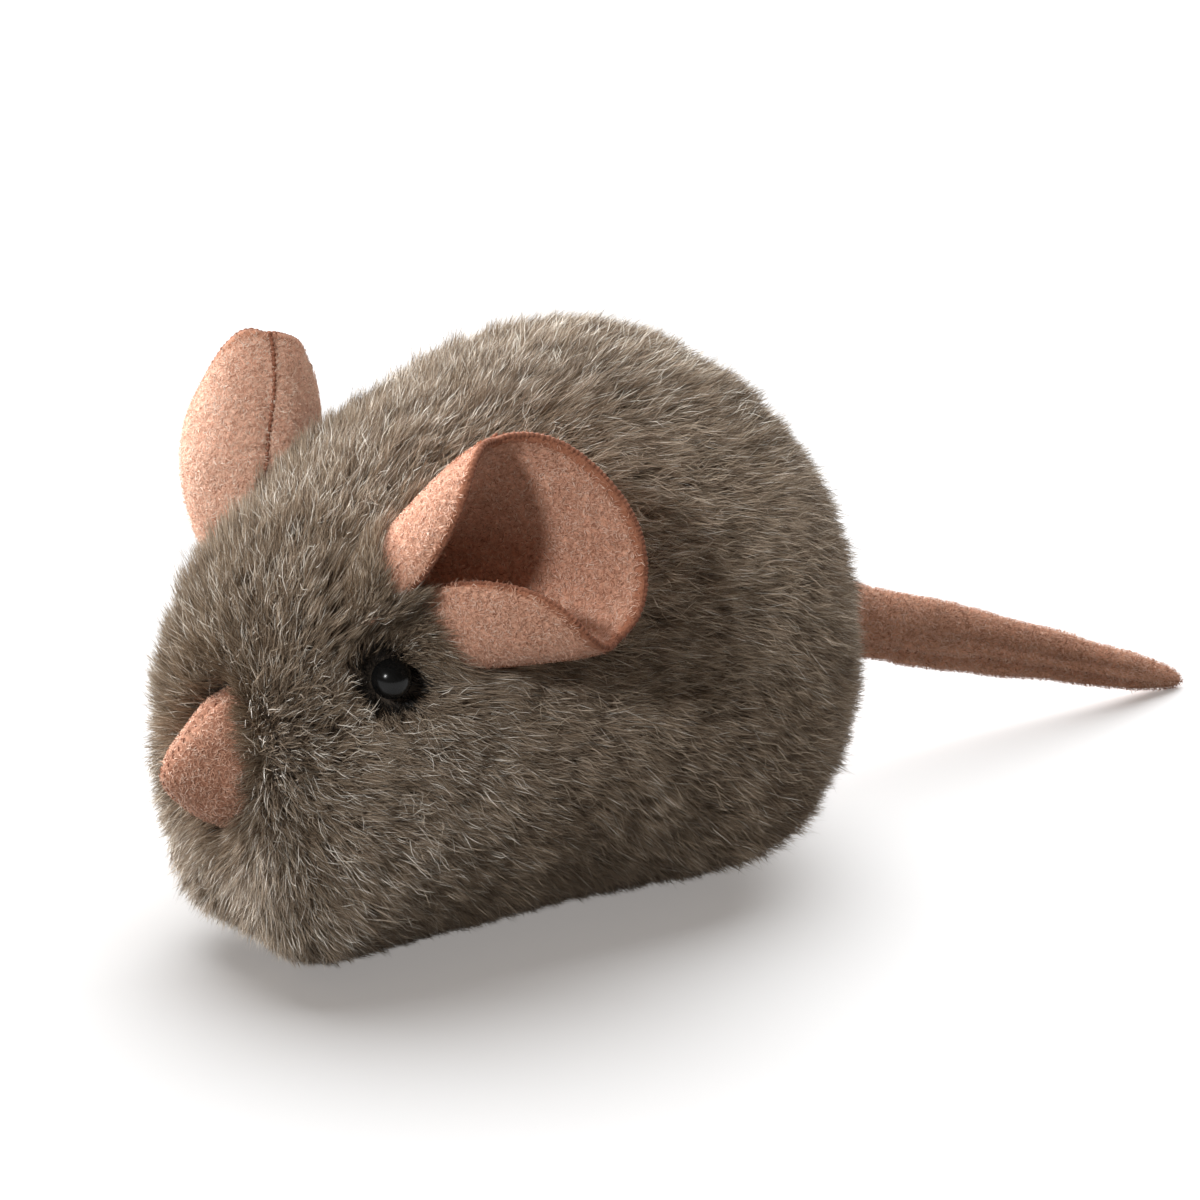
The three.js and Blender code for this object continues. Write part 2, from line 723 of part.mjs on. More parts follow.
const pouchMouth = pouchHalf * 0.985;
const pouch = revolve(
  [
    ...pouchProfile(0, pouchNeck + pouchCloth),
    [pouchNeck + pouchCloth, pouchMouth],
    [pouchNeck, pouchMouth],
    ...pouchProfile(pouchCloth, pouchNeck).reverse(),
  ],
  roundSides,
  pouchFrame,
);
const catnip = revolve(
  [...pouchProfile(pouchCloth + gap, pouchNeck), [0, pouchHalf * pouchFill]],
  roundSides,
  pouchFrame,
);

function pouchRoom() {
  const steps = 12;
  const turns = 10;
  const rings = Array.from({ length: steps + 1 }, (_, step) => {
    const along = -Math.cos((Math.PI * (step + 0.3)) / (steps + 0.6)) * (pouchHalf + 2 * gap);
    const radius = Math.max(pouchRadiusAt(along, -gap), pouchNeck + pouchCloth + gap);
    const y = pouchFromOrigin + along;
    const arch = Array.from({ length: turns + 1 }, (_, turn) => {
      const angle = Math.PI * (1 - turn / turns);
      return new THREE.Vector3(radius * Math.cos(angle), y, pouchMiddle.z + radius * Math.sin(angle));
    });
    return [new THREE.Vector3(radius, y, 0), new THREE.Vector3(-radius, y, 0), ...arch];
  });
  return loft(rings);
}

// Assembly
const fur = 0x8b7e70;
const suede = 0xb08570;
const suedeLight = 0xc79a84;
const rust = 0x9d5c45;
const greyThread = 0x6a6058;
const fibre = 0xe9e5dc;

const group = new THREE.Group();

function add(name, solid, color, roughness, mirrored = false) {
  const material = new THREE.MeshStandardMaterial({ color, roughness, metalness: 0 });
  const mesh = new THREE.Mesh(geometryOf(solid), material);
  mesh.name = name;
  if (mirrored) mesh.scale.x = -1;
  group.add(mesh);
}

function addPair(name, solid, color, roughness) {
  add("left_" + name, solid, color, roughness);
  add("right_" + name, solid, color, roughness, true);
}

const seamSteps = 30;
const shortSeamSteps = 8;
const bellySeamSteps = 44;
const bellyRoute = bellyPath();
const earSpace = earRoom();
const tailSpace = tailRoom();

const sidePanel = cut(
  furOuter.intersect(aboveFloor).intersect(leftOfSeam),
  furInner,
  earSpace,
  noseRoom,
  eyeRoom,
  tailSpace,
  tube(backPath, channelRadius, seamSteps),
  tube(chinPath, channelRadius, shortSeamSteps),
  tube(rumpPath, channelRadius, shortSeamSteps),
  tube(bellyRoute, channelRadius, bellySeamSteps),
);
const bellySlab = box(new THREE.Vector3(0, -far, 0), new THREE.Vector3(far, far, bellyThickness));
const bellyHalf = cut(
  bodyForm(furThickness + bellySeamWidth).intersect(bellySlab),
  tube(bellyRoute, channelRadius, bellySeamSteps),
);
const belly = bellyHalf.add(mirror(bellyHalf));
const fillingFloor = new THREE.Vector3(0, -far, bellyThickness + gap);
const fillingHalf = cut(
  bodyForm(furThickness + gap).intersect(box(fillingFloor, new THREE.Vector3(far, far, far))),
  earSpace,
  eyeRoom,
  tailSpace,
  pouchRoom(),
);
const filling = fillingHalf.add(mirror(fillingHalf));

addPair("side_panel", sidePanel, fur, 1);
add("belly_panel", belly, fur, 1);
add("body_filling", filling, fibre, 1);
add("catnip_pouch", pouch, 0xd8cdb4, 0.95);
add("dried_catnip", catnip, 0x7a7a4a, 1);
add("back_seam_thread", tube(backPath, threadRadius, seamSteps), greyThread, 0.9);
add("chin_seam_thread", tube(chinPath, threadRadius, shortSeamSteps), greyThread, 0.9);
add("rump_seam_thread", tube(rumpPath, threadRadius, shortSeamSteps), greyThread, 0.9);
add("belly_seam_thread", tube(bellyRoute, threadRadius, bellySeamSteps), greyThread, 0.9);
addPair("eye", eyeBead(), 0x0d0c0b, 0.12);
addPair("eye_washer", eyeWasher, 0xe6e4df, 0.5);
add("nose_left_panel", noseHalf, suede, 0.95);
add("nose_right_panel", noseHalf, suede, 0.95, true);
add("nose_filling", noseFilling, fibre, 1);
add("nose_seam_thread", noseSeam, rust, 0.9);
addPair("ear_back", earBack, suede, 0.95);
addPair("ear_lining", earLining, suedeLight, 0.95);
addPair("ear_stitching", earStitching, rust, 0.9);
addPair("ear_dart_stitching", earDartStitching, rust, 0.9);
addPair("ear_anchor_stitches", earAnchorStitches, rust, 0.9);
add("tail_sleeve", tailSleeve, suede, 0.95);
add("tail_filling", tailFilling, fibre, 1);
add("tail_seam_thread", tailSeam, rust, 0.9);
add("tail_anchor_stitches", tailAnchor, rust, 0.9);

export default group;
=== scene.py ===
# Stuffed catnip mouse: faux fur, suede ears, nose and tail, bead eyes. Formulas are in millimetres.
import bpy
import json
import math
import numpy as np
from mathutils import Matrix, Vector


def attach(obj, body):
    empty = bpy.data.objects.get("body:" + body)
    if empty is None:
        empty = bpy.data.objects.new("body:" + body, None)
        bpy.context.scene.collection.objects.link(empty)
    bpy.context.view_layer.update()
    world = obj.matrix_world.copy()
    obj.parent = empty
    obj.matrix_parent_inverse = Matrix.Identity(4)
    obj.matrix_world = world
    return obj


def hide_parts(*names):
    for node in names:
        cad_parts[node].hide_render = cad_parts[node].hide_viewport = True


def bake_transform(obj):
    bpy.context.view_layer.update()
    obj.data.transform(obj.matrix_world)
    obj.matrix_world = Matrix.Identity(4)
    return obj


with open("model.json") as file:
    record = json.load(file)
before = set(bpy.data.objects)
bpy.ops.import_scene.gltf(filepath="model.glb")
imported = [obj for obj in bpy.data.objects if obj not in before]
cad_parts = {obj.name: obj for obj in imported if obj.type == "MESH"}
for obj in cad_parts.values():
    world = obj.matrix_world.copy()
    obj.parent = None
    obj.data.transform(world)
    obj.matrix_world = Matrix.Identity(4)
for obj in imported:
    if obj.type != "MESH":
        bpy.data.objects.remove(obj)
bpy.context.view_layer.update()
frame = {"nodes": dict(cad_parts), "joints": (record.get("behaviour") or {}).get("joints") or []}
joints = {joint["name"]: joint for joint in frame["joints"]}
sides = (("left", 1), ("right", -1))
mm = 0.001
farAway = 99  # stands for out of reach, in mm or degrees
rng = np.random.default_rng(11)
scene = bpy.context.scene
print("frame loaded:", len(frame["nodes"]), "nodes")


# Sums on arrays of points
def unit(v):
    return v / np.maximum(np.linalg.norm(v, axis=-1, keepdims=True), 1e-9)


def ramp(low, high, value):
    share = np.clip((value - low) / (high - low), 0, 1)
    return share * share * (3 - 2 * share)


def inStretch(share, starts, ends):  # fades in over starts and out over ends
    return ramp(*starts, share) * (1 - ramp(*ends, share))


def bell(value, width):
    return np.exp(-((value / width) ** 2))


def signedPower(value, power):
    return np.sign(value) * np.abs(value) ** power


def turnAbout(v, axis, angle):
    angle = np.asarray(angle)[..., None]
    along = (v * axis).sum(-1, keepdims=True)
    return v * np.cos(angle) + np.cross(axis, v) * np.sin(angle) + axis * along * (1 - np.cos(angle))


def leftward(points):  # both halves shown on the left, and the signs that bring them back
    mirror = np.ones(points.shape)
    mirror[:, 0] = np.where(points[:, 0] < 0, -1.0, 1.0)
    return points * mirror, mirror


def softNoise(points, cell, seed):  # smooth value noise from -1 to 1
    q = points / cell
    base = np.floor(q).astype(np.int64)
    part = q - base
    part = part * part * (3 - 2 * part)
    total = np.zeros(len(points))
    for corner in range(8):
        step = np.array([corner & 1, corner >> 1 & 1, corner >> 2 & 1])
        key = base + step
        mixed = key[:, 0] * 73856093 ^ key[:, 1] * 19349663 ^ key[:, 2] * 83492791 ^ (seed * 40503)
        mixed = (mixed ^ (mixed >> 13)) * 1274126177
        value = ((mixed ^ (mixed >> 16)) & 0xFFFF) / 32767.5 - 1
        total += np.prod(np.where(step == 1, part, 1 - part), axis=1) * value
    return total


def lengthAlong(line):
    return np.concatenate([[0], np.cumsum(np.linalg.norm(np.diff(line, axis=0), axis=1))])


def placesAt(where, length, line):
    return np.stack([np.interp(where, length, line[:, k]) for k in range(3)], -1)


# Small helpers for meshes
def deselect():
    if bpy.context.object and bpy.context.object.mode != "OBJECT":
        bpy.ops.object.mode_set(mode="OBJECT")
    bpy.ops.object.select_all(action="DESELECT")


def pick(piece):
    deselect()
    piece.select_set(True)
    bpy.context.view_layer.objects.active = piece


def weld():
    bpy.ops.mesh.remove_doubles(threshold=0.00001)


def facesOutward():
    bpy.ops.mesh.normals_make_consistent(inside=False)


def editMesh(piece, *steps):  # each step starts with the whole mesh selected
    pick(piece)
    bpy.ops.object.mode_set(mode="EDIT")
    for step in steps:
        bpy.ops.mesh.select_all(action="SELECT")
        step()
    bpy.ops.object.mode_set(mode="OBJECT")


def newBall(name, segments, rings):
    deselect()
    bpy.ops.mesh.primitive_uv_sphere_add(segments=segments, ring_count=rings, radius=1)
    piece = bpy.context.object
    piece.name = name
    return piece


def placesOf(piece):
    found = np.zeros(len(piece.data.vertices) * 3, np.float32)
    piece.data.vertices.foreach_get("co", found)
    return found.reshape(-1, 3).astype(float)


def ballOnY(piece):  # a ball's places with its poles turned to lie on Y
    return placesOf(piece)[:, [0, 2, 1]] * [1, -1, 1]


def setPlaces(piece, places):  # places in mm
    piece.data.vertices.foreach_set("co", (places * mm).astype(np.float32).ravel())
    piece.data.update()


def applyAll(piece):
    pick(piece)
    for name in [m.name for m in piece.modifiers]:
        bpy.ops.object.modifier_apply(modifier=name)


def smoothFaces(piece):
    piece.data.polygons.foreach_set("use_smooth", np.ones(len(piece.data.polygons), bool))


def wear(piece, finish):
    piece.data.materials.clear()
    piece.data.materials.append(finish)


def takePlace(piece, body, node):
    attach(piece, body)
    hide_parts(node)


def meshPiece(name, points, triangles, finish, uv=None):  # points in mm
    mesh = bpy.data.meshes.new(name)
    mesh.vertices.add(len(points))
    mesh.vertices.foreach_set("co", (points * mm).astype(np.float32).ravel())
    mesh.loops.add(triangles.size)
    mesh.loops.foreach_set("vertex_index", triangles.astype(np.int32).ravel())
    mesh.polygons.add(len(triangles))
    mesh.polygons.foreach_set("loop_start", np.arange(0, triangles.size, 3, dtype=np.int32))
    mesh.update(calc_edges=True)
    if uv is not None:
        layer = mesh.uv_layers.new(name="OFBake")
        layer.uv.foreach_set("vector", uv[triangles.ravel()].astype(np.float32).ravel())
    piece = bpy.data.objects.new(name, mesh)
    scene.collection.objects.link(piece)
    smoothFaces(piece)
    wear(piece, finish)
    return piece


def tubes(paths, radius, sides=6, over=None):  # paths: (count, steps, 3), closed at both ends
    paths = np.asarray(paths, float)
    count, steps, _ = paths.shape
    heading = unit(np.gradient(paths, axis=1))
    helper = np.where(np.abs(heading[..., 2:3]) > 0.9, [1.0, 0, 0], [0, 0, 1.0]) if over is None else over
    across = unit(np.cross(heading, helper))
    over = np.cross(heading, across)
    angle = np.arange(sides) / sides * 2 * np.pi
    radius = np.broadcast_to(np.asarray(radius, float), (count, steps))[..., None, None]
    ring = across[:, :, None] * np.cos(angle)[:, None] + over[:, :, None] * np.sin(angle)[:, None]
    points = np.concatenate([(paths[:, :, None] + radius * ring).reshape(count, -1, 3),
                             paths[:, :1], paths[:, -1:]], axis=1)
    faces = []
    for step in range(steps - 1):
        for side in range(sides):
            a, b = step * sides + side, step * sides + (side + 1) % sides
            faces += [[a, b + sides, b], [a, a + sides, b + sides]]
    first, last, top = steps * sides, steps * sides + 1, (steps - 1) * sides
    for side in range(sides):
        faces.append([first, side, (side + 1) % sides])
        faces.append([last, top + (side + 1) % sides, top + side])
    stride = steps * sides + 2
    everyFace = (np.array(faces)[None] + np.arange(count)[:, None, None] * stride).reshape(-1, 3)
    return points.reshape(-1, 3), everyFace


stitchArc = np.linspace(-1, 1, 7)  # the points of one short stitch, from end to end


# Grids of points over a skin that is given by share along and angle round
def skinGrid(skin, shares, angles):
    shareGrid, angleGrid = np.meshgrid(shares, angles, indexing="ij")
    return skin(shareGrid.ravel(), angleGrid.ravel()).reshape(len(shares), len(angles), 3)


def gridNormals(grid, wrap=False):
    along = np.gradient(grid, axis=0)
    around = (np.roll(grid, -1, axis=1) - np.roll(grid, 1, axis=1)) / 2 if wrap else np.gradient(grid, axis=1)
    return unit(np.cross(around, along))


def outwardNormals(grid, core, wrap=False):
    normals = gridNormals(grid, wrap)
    sign = np.sign((normals * (grid - core)).sum(-1, keepdims=True))
    return normals * np.where(sign == 0, 1, sign)


def cellAreas(grid):  # twice the area of each cell
    a, b, c, d = grid[:-1, :-1], grid[:-1, 1:], grid[1:, :-1], grid[1:, 1:]
    return np.linalg.norm(np.cross(d - a, b - c), axis=-1)


def scatter(grid, normals, count, wrap=False):  # even random places on a grid of points
    if wrap:
        grid = np.concatenate([grid, grid[:, :1]], 1)
        normals = np.concatenate([normals, normals[:, :1]], 1)
    areas = cellAreas(grid)
    area = areas.ravel()
    steps = (np.arange(count) + rng.random(count)) / count
    cells = np.searchsorted(np.cumsum(area) / area.sum(), steps).clip(0, area.size - 1)
    rows, cols = np.unravel_index(cells, areas.shape)
    u, v = rng.random((2, count, 1))
    def between(field):
        low = field[rows, cols] * (1 - u) + field[rows, cols + 1] * u
        high = field[rows + 1, cols] * (1 - u) + field[rows + 1, cols + 1] * u
        return low * (1 - v) + high * v
    return between(grid), unit(between(normals))


# Strands: a kite has its root, two corners at the knee and its tip; a strip has two edges of four points and its tip
kiteForm = {"across": (0.5, 0, 1, 0.5), "along": (0.02, 0.5, 0.5, 0.98), "faces": [[0, 2, 1], [1, 2, 3]]}
stripForm = {"across": (0, 0, 0, 0, 1, 1, 1, 1, 0.5), "along": (0.05, 0.35, 0.6, 0.8) * 2 + (0.98,),
             "faces": [f for k in range(3) for f in ([k, k + 1, k + 5], [k, k + 5, k + 4])] + [[3, 8, 7]]}


def strands(name, form, corners, tones, spread, finish):  # the map holds each strand's tone and the place along it
    count, each = corners.shape[:2]
    uv = np.zeros((count, each, 2))
    uv[:, :, 0] = tones[:, None] + spread * np.array(form["across"])
    uv[:, :, 1] = form["along"]
    faces = (np.array(form["faces"])[None] + np.arange(count)[:, None, None] * each).reshape(-1, 3)
    return meshPiece(name, corners.reshape(-1, 3), faces, finish, uv.reshape(-1, 2))


# Nap: short fibres that lie every way on the suede, a little more along its lay
napSettings = {"length": 0.95, "width": 0.115, "lift": 0.22, "perSquare": 13, "bend": 0.22, "sink": 0.05,
               "toneSpread": 0.25, "patches": 0.12, "patchSize": 3, "mapSpread": 0.016}


def napFibres(name, grid, normals, lay, strength, wrap=False, keep=None, mirror=(1, 1, 1)):
    s = napSettings
    area = cellAreas(grid).sum() / 2
    root, n = scatter(grid, normals, int(area * s["perSquare"]), wrap)
    if keep is not None:
        chosen = keep(root)
        root, n = root[chosen], n[chosen]
    count = len(root)
    way = unit(rng.standard_normal((count, 3)) + strength * np.asarray(lay))
    way = unit(way - n * (way * n).sum(-1, keepdims=True))
    length = s["length"] * (0.5 + rng.random(count))[:, None]
    bend = unit(np.cross(n, way)) * (s["bend"] * rng.standard_normal((count, 1)))
    lift = s["lift"] * (0.4 + 1.1 * rng.random((2, count, 1)))
    knee = root + way * length * 0.5 + bend * length + n * lift[0]
    tip = root + way * length + n * lift[1] * 1.1
    flat = unit(np.cross(way, n)) * s["width"] / 2 * (0.6 + 0.8 * rng.random((count, 1)))
    corners = np.stack([root - s["sink"] * n, knee - flat, knee + flat, tip], 1)
    tone = 0.5 + s["toneSpread"] * rng.standard_normal(count) + s["patches"] * softNoise(root, s["patchSize"], 61)
    return strands(name, kiteForm, corners * np.array(mirror), np.clip(tone, 0.02, 0.96), s["mapSpread"], napFinish)


# Camera: worked out from the outline in the photograph
camSettings = {"azimuth": 52.3, "elevation": 21.9, "distance": 936, "lens": 202.3, "sensor": 36,
               "target": (0, 0, 28.1), "aimRight": 14.0, "aimUp": 13.9}
az, el = math.radians(camSettings["azimuth"]), math.radians(camSettings["elevation"])
toCamera = Vector((math.sin(az) * math.cos(el), -math.cos(az) * math.cos(el), math.sin(el)))
toRight = Vector((math.cos(az), math.sin(az), 0))
toTop = toCamera.cross(toRight)
target = Vector(camSettings["target"]) * mm
bpy.ops.object.camera_add()
camera = bpy.context.object
camera.data.lens = camSettings["lens"]
camera.data.sensor_width = camSettings["sensor"]
camera.data.clip_start, camera.data.clip_end = 0.01, 50
camera.location = target + toCamera * camSettings["distance"] * mm
aim = target + (toRight * camSettings["aimRight"] + toTop * camSettings["aimUp"]) * mm
camera.rotation_mode = "QUATERNION"
camera.rotation_quaternion = (aim - camera.location).to_track_quat("-Z", "Y")
scene.camera = camera

# Light: a soft lamp from the left, a clear one from in front, a wide one overhead, a little from all round
lightSettings = {
    "side": {"way": (-0.88, -0.35, 0.30), "strength": 5.2, "spread": 14},
    "front": {"way": (0.16, -0.83, 0.53), "strength": 1.8, "spread": 9},
    "overhead": {"way": (-0.45, 0.44, 1.0), "strength": 3.7, "spread": 80},
    "world": 0.10, "worldTint": (1.0, 0.86, 0.74, 1),
}
for lampName in ("side", "front", "overhead"):
    s = lightSettings[lampName]
    bpy.ops.object.light_add(type="SUN", location=(0, 0, 1))
    lamp = bpy.context.object
    lamp.name = lampName + "Lamp"
    lamp.data.energy = s["strength"]
    lamp.data.angle = math.radians(s["spread"])
    lamp.rotation_mode = "QUATERNION"
    lamp.rotation_quaternion = Vector(s["way"]).to_track_quat("Z", "Y")


def addNode(tree, kind, **values):
    node = tree.nodes.new("ShaderNode" + kind)
    for name, value in values.items():
        node.inputs[name].default_value = value
    return node


def joinNodes(tree, *pairs):
    for source, goal in pairs:
        tree.links.new(source, goal)


scene.view_settings.view_transform = "Standard"
world = bpy.data.worlds.new("studio")
scene.world = world
world.use_nodes = True
w = world.node_tree
w.nodes.clear()
worldOut, rays, which = (addNode(w, kind) for kind in ("OutputWorld", "LightPath", "MixShader"))
seen = addNode(w, "Background", Color=(1, 1, 1, 1), Strength=1)  # white behind the mouse
fill = addNode(w, "Background", Color=lightSettings["worldTint"], Strength=lightSettings["world"])
joinNodes(w, (rays.outputs["Is Camera Ray"], which.inputs[0]), (fill.outputs[0], which.inputs[1]),
          (seen.outputs[0], which.inputs[2]), (which.outputs[0], worldOut.inputs["Surface"]))

# Floor
floorSettings = {"size": 6, "colour": (0.88, 0.90, 0.92, 1), "lift": 0.28, "liftTint": (1.0, 0.95, 0.915, 1),
                 "bounce": (0.42, 0.41, 0.40, 1)}
deselect()
bpy.ops.mesh.primitive_plane_add(size=floorSettings["size"], location=(0, 0, 0))
floor = bpy.context.object
floor.name = "floor"
floorMat = bpy.data.materials.new("paperFloor")
floorMat.use_nodes = True
t = floorMat.node_tree
t.nodes.clear()
out, rays, most = (addNode(t, kind) for kind in ("OutputMaterial", "LightPath", "Math"))
lit, which = addNode(t, "AddShader"), addNode(t, "MixShader")
most.operation = "MAXIMUM"
paper = addNode(t, "BsdfDiffuse", Color=floorSettings["colour"])
dim = addNode(t, "BsdfDiffuse", Color=floorSettings["bounce"])  # what the paper throws back at the mouse
glow = addNode(t, "Emission", Color=floorSettings["liftTint"], Strength=floorSettings["lift"])
joinNodes(t, (rays.outputs["Is Camera Ray"], most.inputs[0]), (rays.outputs["Is Glossy Ray"], most.inputs[1]),
          (paper.outputs[0], lit.inputs[0]), (glow.outputs[0], lit.inputs[1]),
          (most.outputs[0], which.inputs[0]), (dim.outputs[0], which.inputs[1]), (lit.outputs[0], which.inputs[2]),
          (which.outputs[0], out.inputs["Surface"]))
wear(floor, floorMat)
offFloor = bpy.data.collections.new("offFloor")  # the side and front lamps leave the paper evenly white
offFloor.objects.link(floor)
offFloor.collection_objects[0].light_linking.link_state = "EXCLUDE"
for lampName in ("side", "front"):
    bpy.data.objects[lampName + "Lamp"].light_linking.receiver_collection = offFloor
print("camera, lamps and floor ready")


# Finishes
def newFinish(name, roughness, shine, sheen=0.0, sheenTint=(1, 1, 1, 1), sheenRough=0.4):
    made = bpy.data.materials.new(name)
    made.use_nodes = True
    shader = made.node_tree.nodes["Principled BSDF"]
    look = {"Roughness": roughness, "Specular IOR Level": shine, "Sheen Weight": sheen, "Sheen Tint": sheenTint,
            "Sheen Roughness": sheenRough}
    for part, value in look.items():
        shader.inputs[part].default_value = value
    return made, made.node_tree, shader


def rampNode(tree, stops, source):
    node = addNode(tree, "ValToRGB")
    bar = node.color_ramp
    while len(bar.elements) < len(stops):
        bar.elements.new(0.5)
    for element, (place, colour) in zip(bar.elements, stops):
        element.position = place
        element.color = (*colour, 1)
    tree.links.new(source, node.inputs["Fac"])
    return node.outputs["Color"]


def grey(value):
    return (value, value, value)


def noiseNode(tree, source, scale, detail=3, rough=0.6, stretch=None, turn=None):
    node = addNode(tree, "TexNoise", Scale=scale, Detail=detail, Roughness=rough)
    if stretch:
        mapping = addNode(tree, "Mapping", Scale=stretch, Rotation=turn)
        tree.links.new(source, mapping.inputs["Vector"])
        source = mapping.outputs["Vector"]
    tree.links.new(source, node.inputs["Vector"])
    return node.outputs["Fac"]


def multiplyNode(tree, a, b):
    node = addNode(tree, "Mix")
    node.data_type = "RGBA"
    node.blend_type = "MULTIPLY"
    node.inputs["Factor"].default_value = 1
    joinNodes(tree, (a, node.inputs["A"]), (b, node.inputs["B"]))
    return node.outputs["Result"]


def bumpNode(tree, height, distance, strength, below=None):
    node = addNode(tree, "Bump", Distance=distance, Strength=strength)
    tree.links.new(height, node.inputs["Height"])
    if below is not None:
        tree.links.new(below, node.inputs["Normal"])
    return node.outputs["Normal"]


def objectPlaces(tree):
    return addNode(tree, "TexCoord").outputs["Object"]


def mapParts(tree, mapName):  # the two parts of a mesh's own map
    coords, parts = addNode(tree, "UVMap"), addNode(tree, "SeparateXYZ")
    coords.uv_map = mapName
    tree.links.new(coords.outputs["UV"], parts.inputs[0])
    return parts.outputs["X"], parts.outputs["Y"]


def flecked(tree, shader, noise, dark, light):
    tree.links.new(rampNode(tree, [(0.3, dark), (0.7, light)], noise), shader.inputs["Base Color"])


# Fur and nap: colour from strand to strand and along each, read from the strands' own map
def strandFinish(name, toneStops, alongStops, *look):
    made, tree, shader = newFinish(name, *look)
    tone, along = mapParts(tree, "OFBake")
    colour = multiplyNode(tree, rampNode(tree, toneStops, tone), rampNode(tree, alongStops, along))
    tree.links.new(colour, shader.inputs["Base Color"])
    return made


furTones = [(0.0, (0.010, 0.009, 0.008)), (0.07, (0.014, 0.012, 0.010)), (0.1, (0.15, 0.104, 0.067)),
            (0.5, (0.40, 0.304, 0.214)), (0.9, (0.67, 0.555, 0.430)), (0.95, (0.97, 0.91, 0.81))]
# The strands darken towards the root: partly their own colour and partly painted shade deep in the pile
furAlong = [(0.0, (0.20, 0.175, 0.15)), (0.45, (0.62, 0.59, 0.56)), (0.85, grey(1.0))]
furFinish = strandFinish("greyBrownFur", furTones, furAlong, 0.5, 0.35)

# The backing is painted dark brown: painted shade deep between the hairs
backingFinish, tree, shader = newFinish("furBacking", 1.0, 0.1)
flecked(tree, shader, noiseNode(tree, objectPlaces(tree), 700), (0.085, 0.068, 0.053), (0.13, 0.105, 0.084))

suedeLook = {"grain": 2300, "grainDepth": 0.00018, "fibres": 1500, "fibreStretch": (1, 0.28, 0.6),
             "fibreDepth": 0.00025, "clouds": 150,
             "rim": [(0.945, grey(1.0)), (0.965, (0.62, 0.48, 0.41)), (1.0, (0.56, 0.41, 0.34))]}


def suedeFinish(name, dark, light, turn, rimStrip=False):
    s = suedeLook
    made, tree, shader = newFinish(name, 0.95, 0.15, 0.4, (1.0, 0.88, 0.80, 1), 0.45)
    at = objectPlaces(tree)
    grain = noiseNode(tree, at, s["grain"], 3, 0.7)
    fibres = noiseNode(tree, at, s["fibres"], 2, 0.6, s["fibreStretch"], turn)
    clouds = noiseNode(tree, at, s["clouds"], 3, 0.55)
    colour = rampNode(tree, [(0.33, dark), (0.67, light)], grain)
    for noise, low, high in ((fibres, 0.84, 1.1), (clouds, 0.9, 1.07)):
        colour = multiplyNode(tree, colour, rampNode(tree, [(0.3, grey(low)), (0.7, grey(high))], noise))
    if rimStrip:  # a darker, browner strip along the rim, from the grid's own map
        colour = multiplyNode(tree, colour, rampNode(tree, s["rim"], mapParts(tree, "UVMap")[1]))
    bump = bumpNode(tree, fibres, s["fibreDepth"], 0.5)
    joinNodes(tree, (colour, shader.inputs["Base Color"]),
              (bumpNode(tree, grain, s["grainDepth"], 0.6, bump), shader.inputs["Normal"]))
    return made


suede = suedeFinish("salmonSuede", (0.58, 0.295, 0.192), (0.90, 0.540, 0.385), (0.5, 0.3, 0.9), True)
# A paler copy of the salmon suede: painted light for the far ear's lit back
paintedLightSuede = suedeFinish("paintedLightSuede", (0.68, 0.375, 0.260), (0.98, 0.650, 0.490), (0.5, 0.3, 0.9), True)
liningSuede = suedeFinish("liningSuede", (0.58, 0.290, 0.188), (0.90, 0.530, 0.375), (0.2, 0.9, 0.4), True)
noseSuede = suedeFinish("noseSuede", (0.38, 0.172, 0.105), (0.57, 0.295, 0.195), (0.9, 0.1, 0.2))
tailSuede = suedeFinish("tailSuede", (0.60, 0.295, 0.180), (0.88, 0.505, 0.340), (0.1, 0.4, 0.2))


def napCloth(name, dark, middle, light):
    return strandFinish(name, [(0.0, dark), (0.5, middle), (1.0, light)], [(0.0, grey(0.80)), (1.0, grey(1.0))],
                        0.9, 0.15, 0.2, (1.0, 0.86, 0.76, 1), 0.45)


napFinish = napCloth("suedeNap", (0.42, 0.185, 0.110), (0.80, 0.455, 0.315), (0.98, 0.74, 0.600))
# A paler copy of the nap: painted light for the far ear's lit back
paintedLightNap = napCloth("paintedLightSuedeNap", (0.52, 0.245, 0.155), (0.93, 0.600, 0.440), (1.0, 0.86, 0.730))


def threadFinish(name, dark, light):
    made, tree, shader = newFinish(name, 0.8, 0.2, 0.1)
    fibres = noiseNode(tree, objectPlaces(tree), 3200, 2, 0.6, (1, 0.5, 0.7), (0.4, 0.2, 0.7))
    flecked(tree, shader, fibres, dark, light)
    tree.links.new(bumpNode(tree, fibres, 0.0001, 0.5), shader.inputs["Normal"])
    return made


rustThread = threadFinish("rustThread", (0.17, 0.058, 0.031), (0.36, 0.155, 0.092))
greyThread = threadFinish("greyThread", (0.09, 0.075, 0.062), (0.17, 0.145, 0.122))


def clothFinish(name, dark, light, scale, depth):
    made, tree, shader = newFinish(name, 0.95, 0.1, 0.1)
    fluff = noiseNode(tree, objectPlaces(tree), scale, 5, 0.7)
    flecked(tree, shader, fluff, dark, light)
    tree.links.new(bumpNode(tree, fluff, depth, 0.8), shader.inputs["Normal"])
    return made


fibreFinish = clothFinish("whiteFibre", (0.66, 0.63, 0.57), (0.86, 0.84, 0.80), 420, 0.0008)
pouchFinish = clothFinish("pouchCotton", (0.50, 0.43, 0.31), (0.66, 0.58, 0.45), 1500, 0.0002)
leafFinish = clothFinish("driedLeaf", (0.10, 0.105, 0.035), (0.26, 0.26, 0.11), 600, 0.0010)
washerFinish = clothFinish("washerPlastic", (0.76, 0.75, 0.72), (0.82, 0.81, 0.78), 300, 0.00002)

beadFinish, tree, shader = newFinish("blackBead", 0.2, 0.22)
flecked(tree, shader, noiseNode(tree, objectPlaces(tree), 900), grey(0.004), grey(0.009))
print("finishes ready")

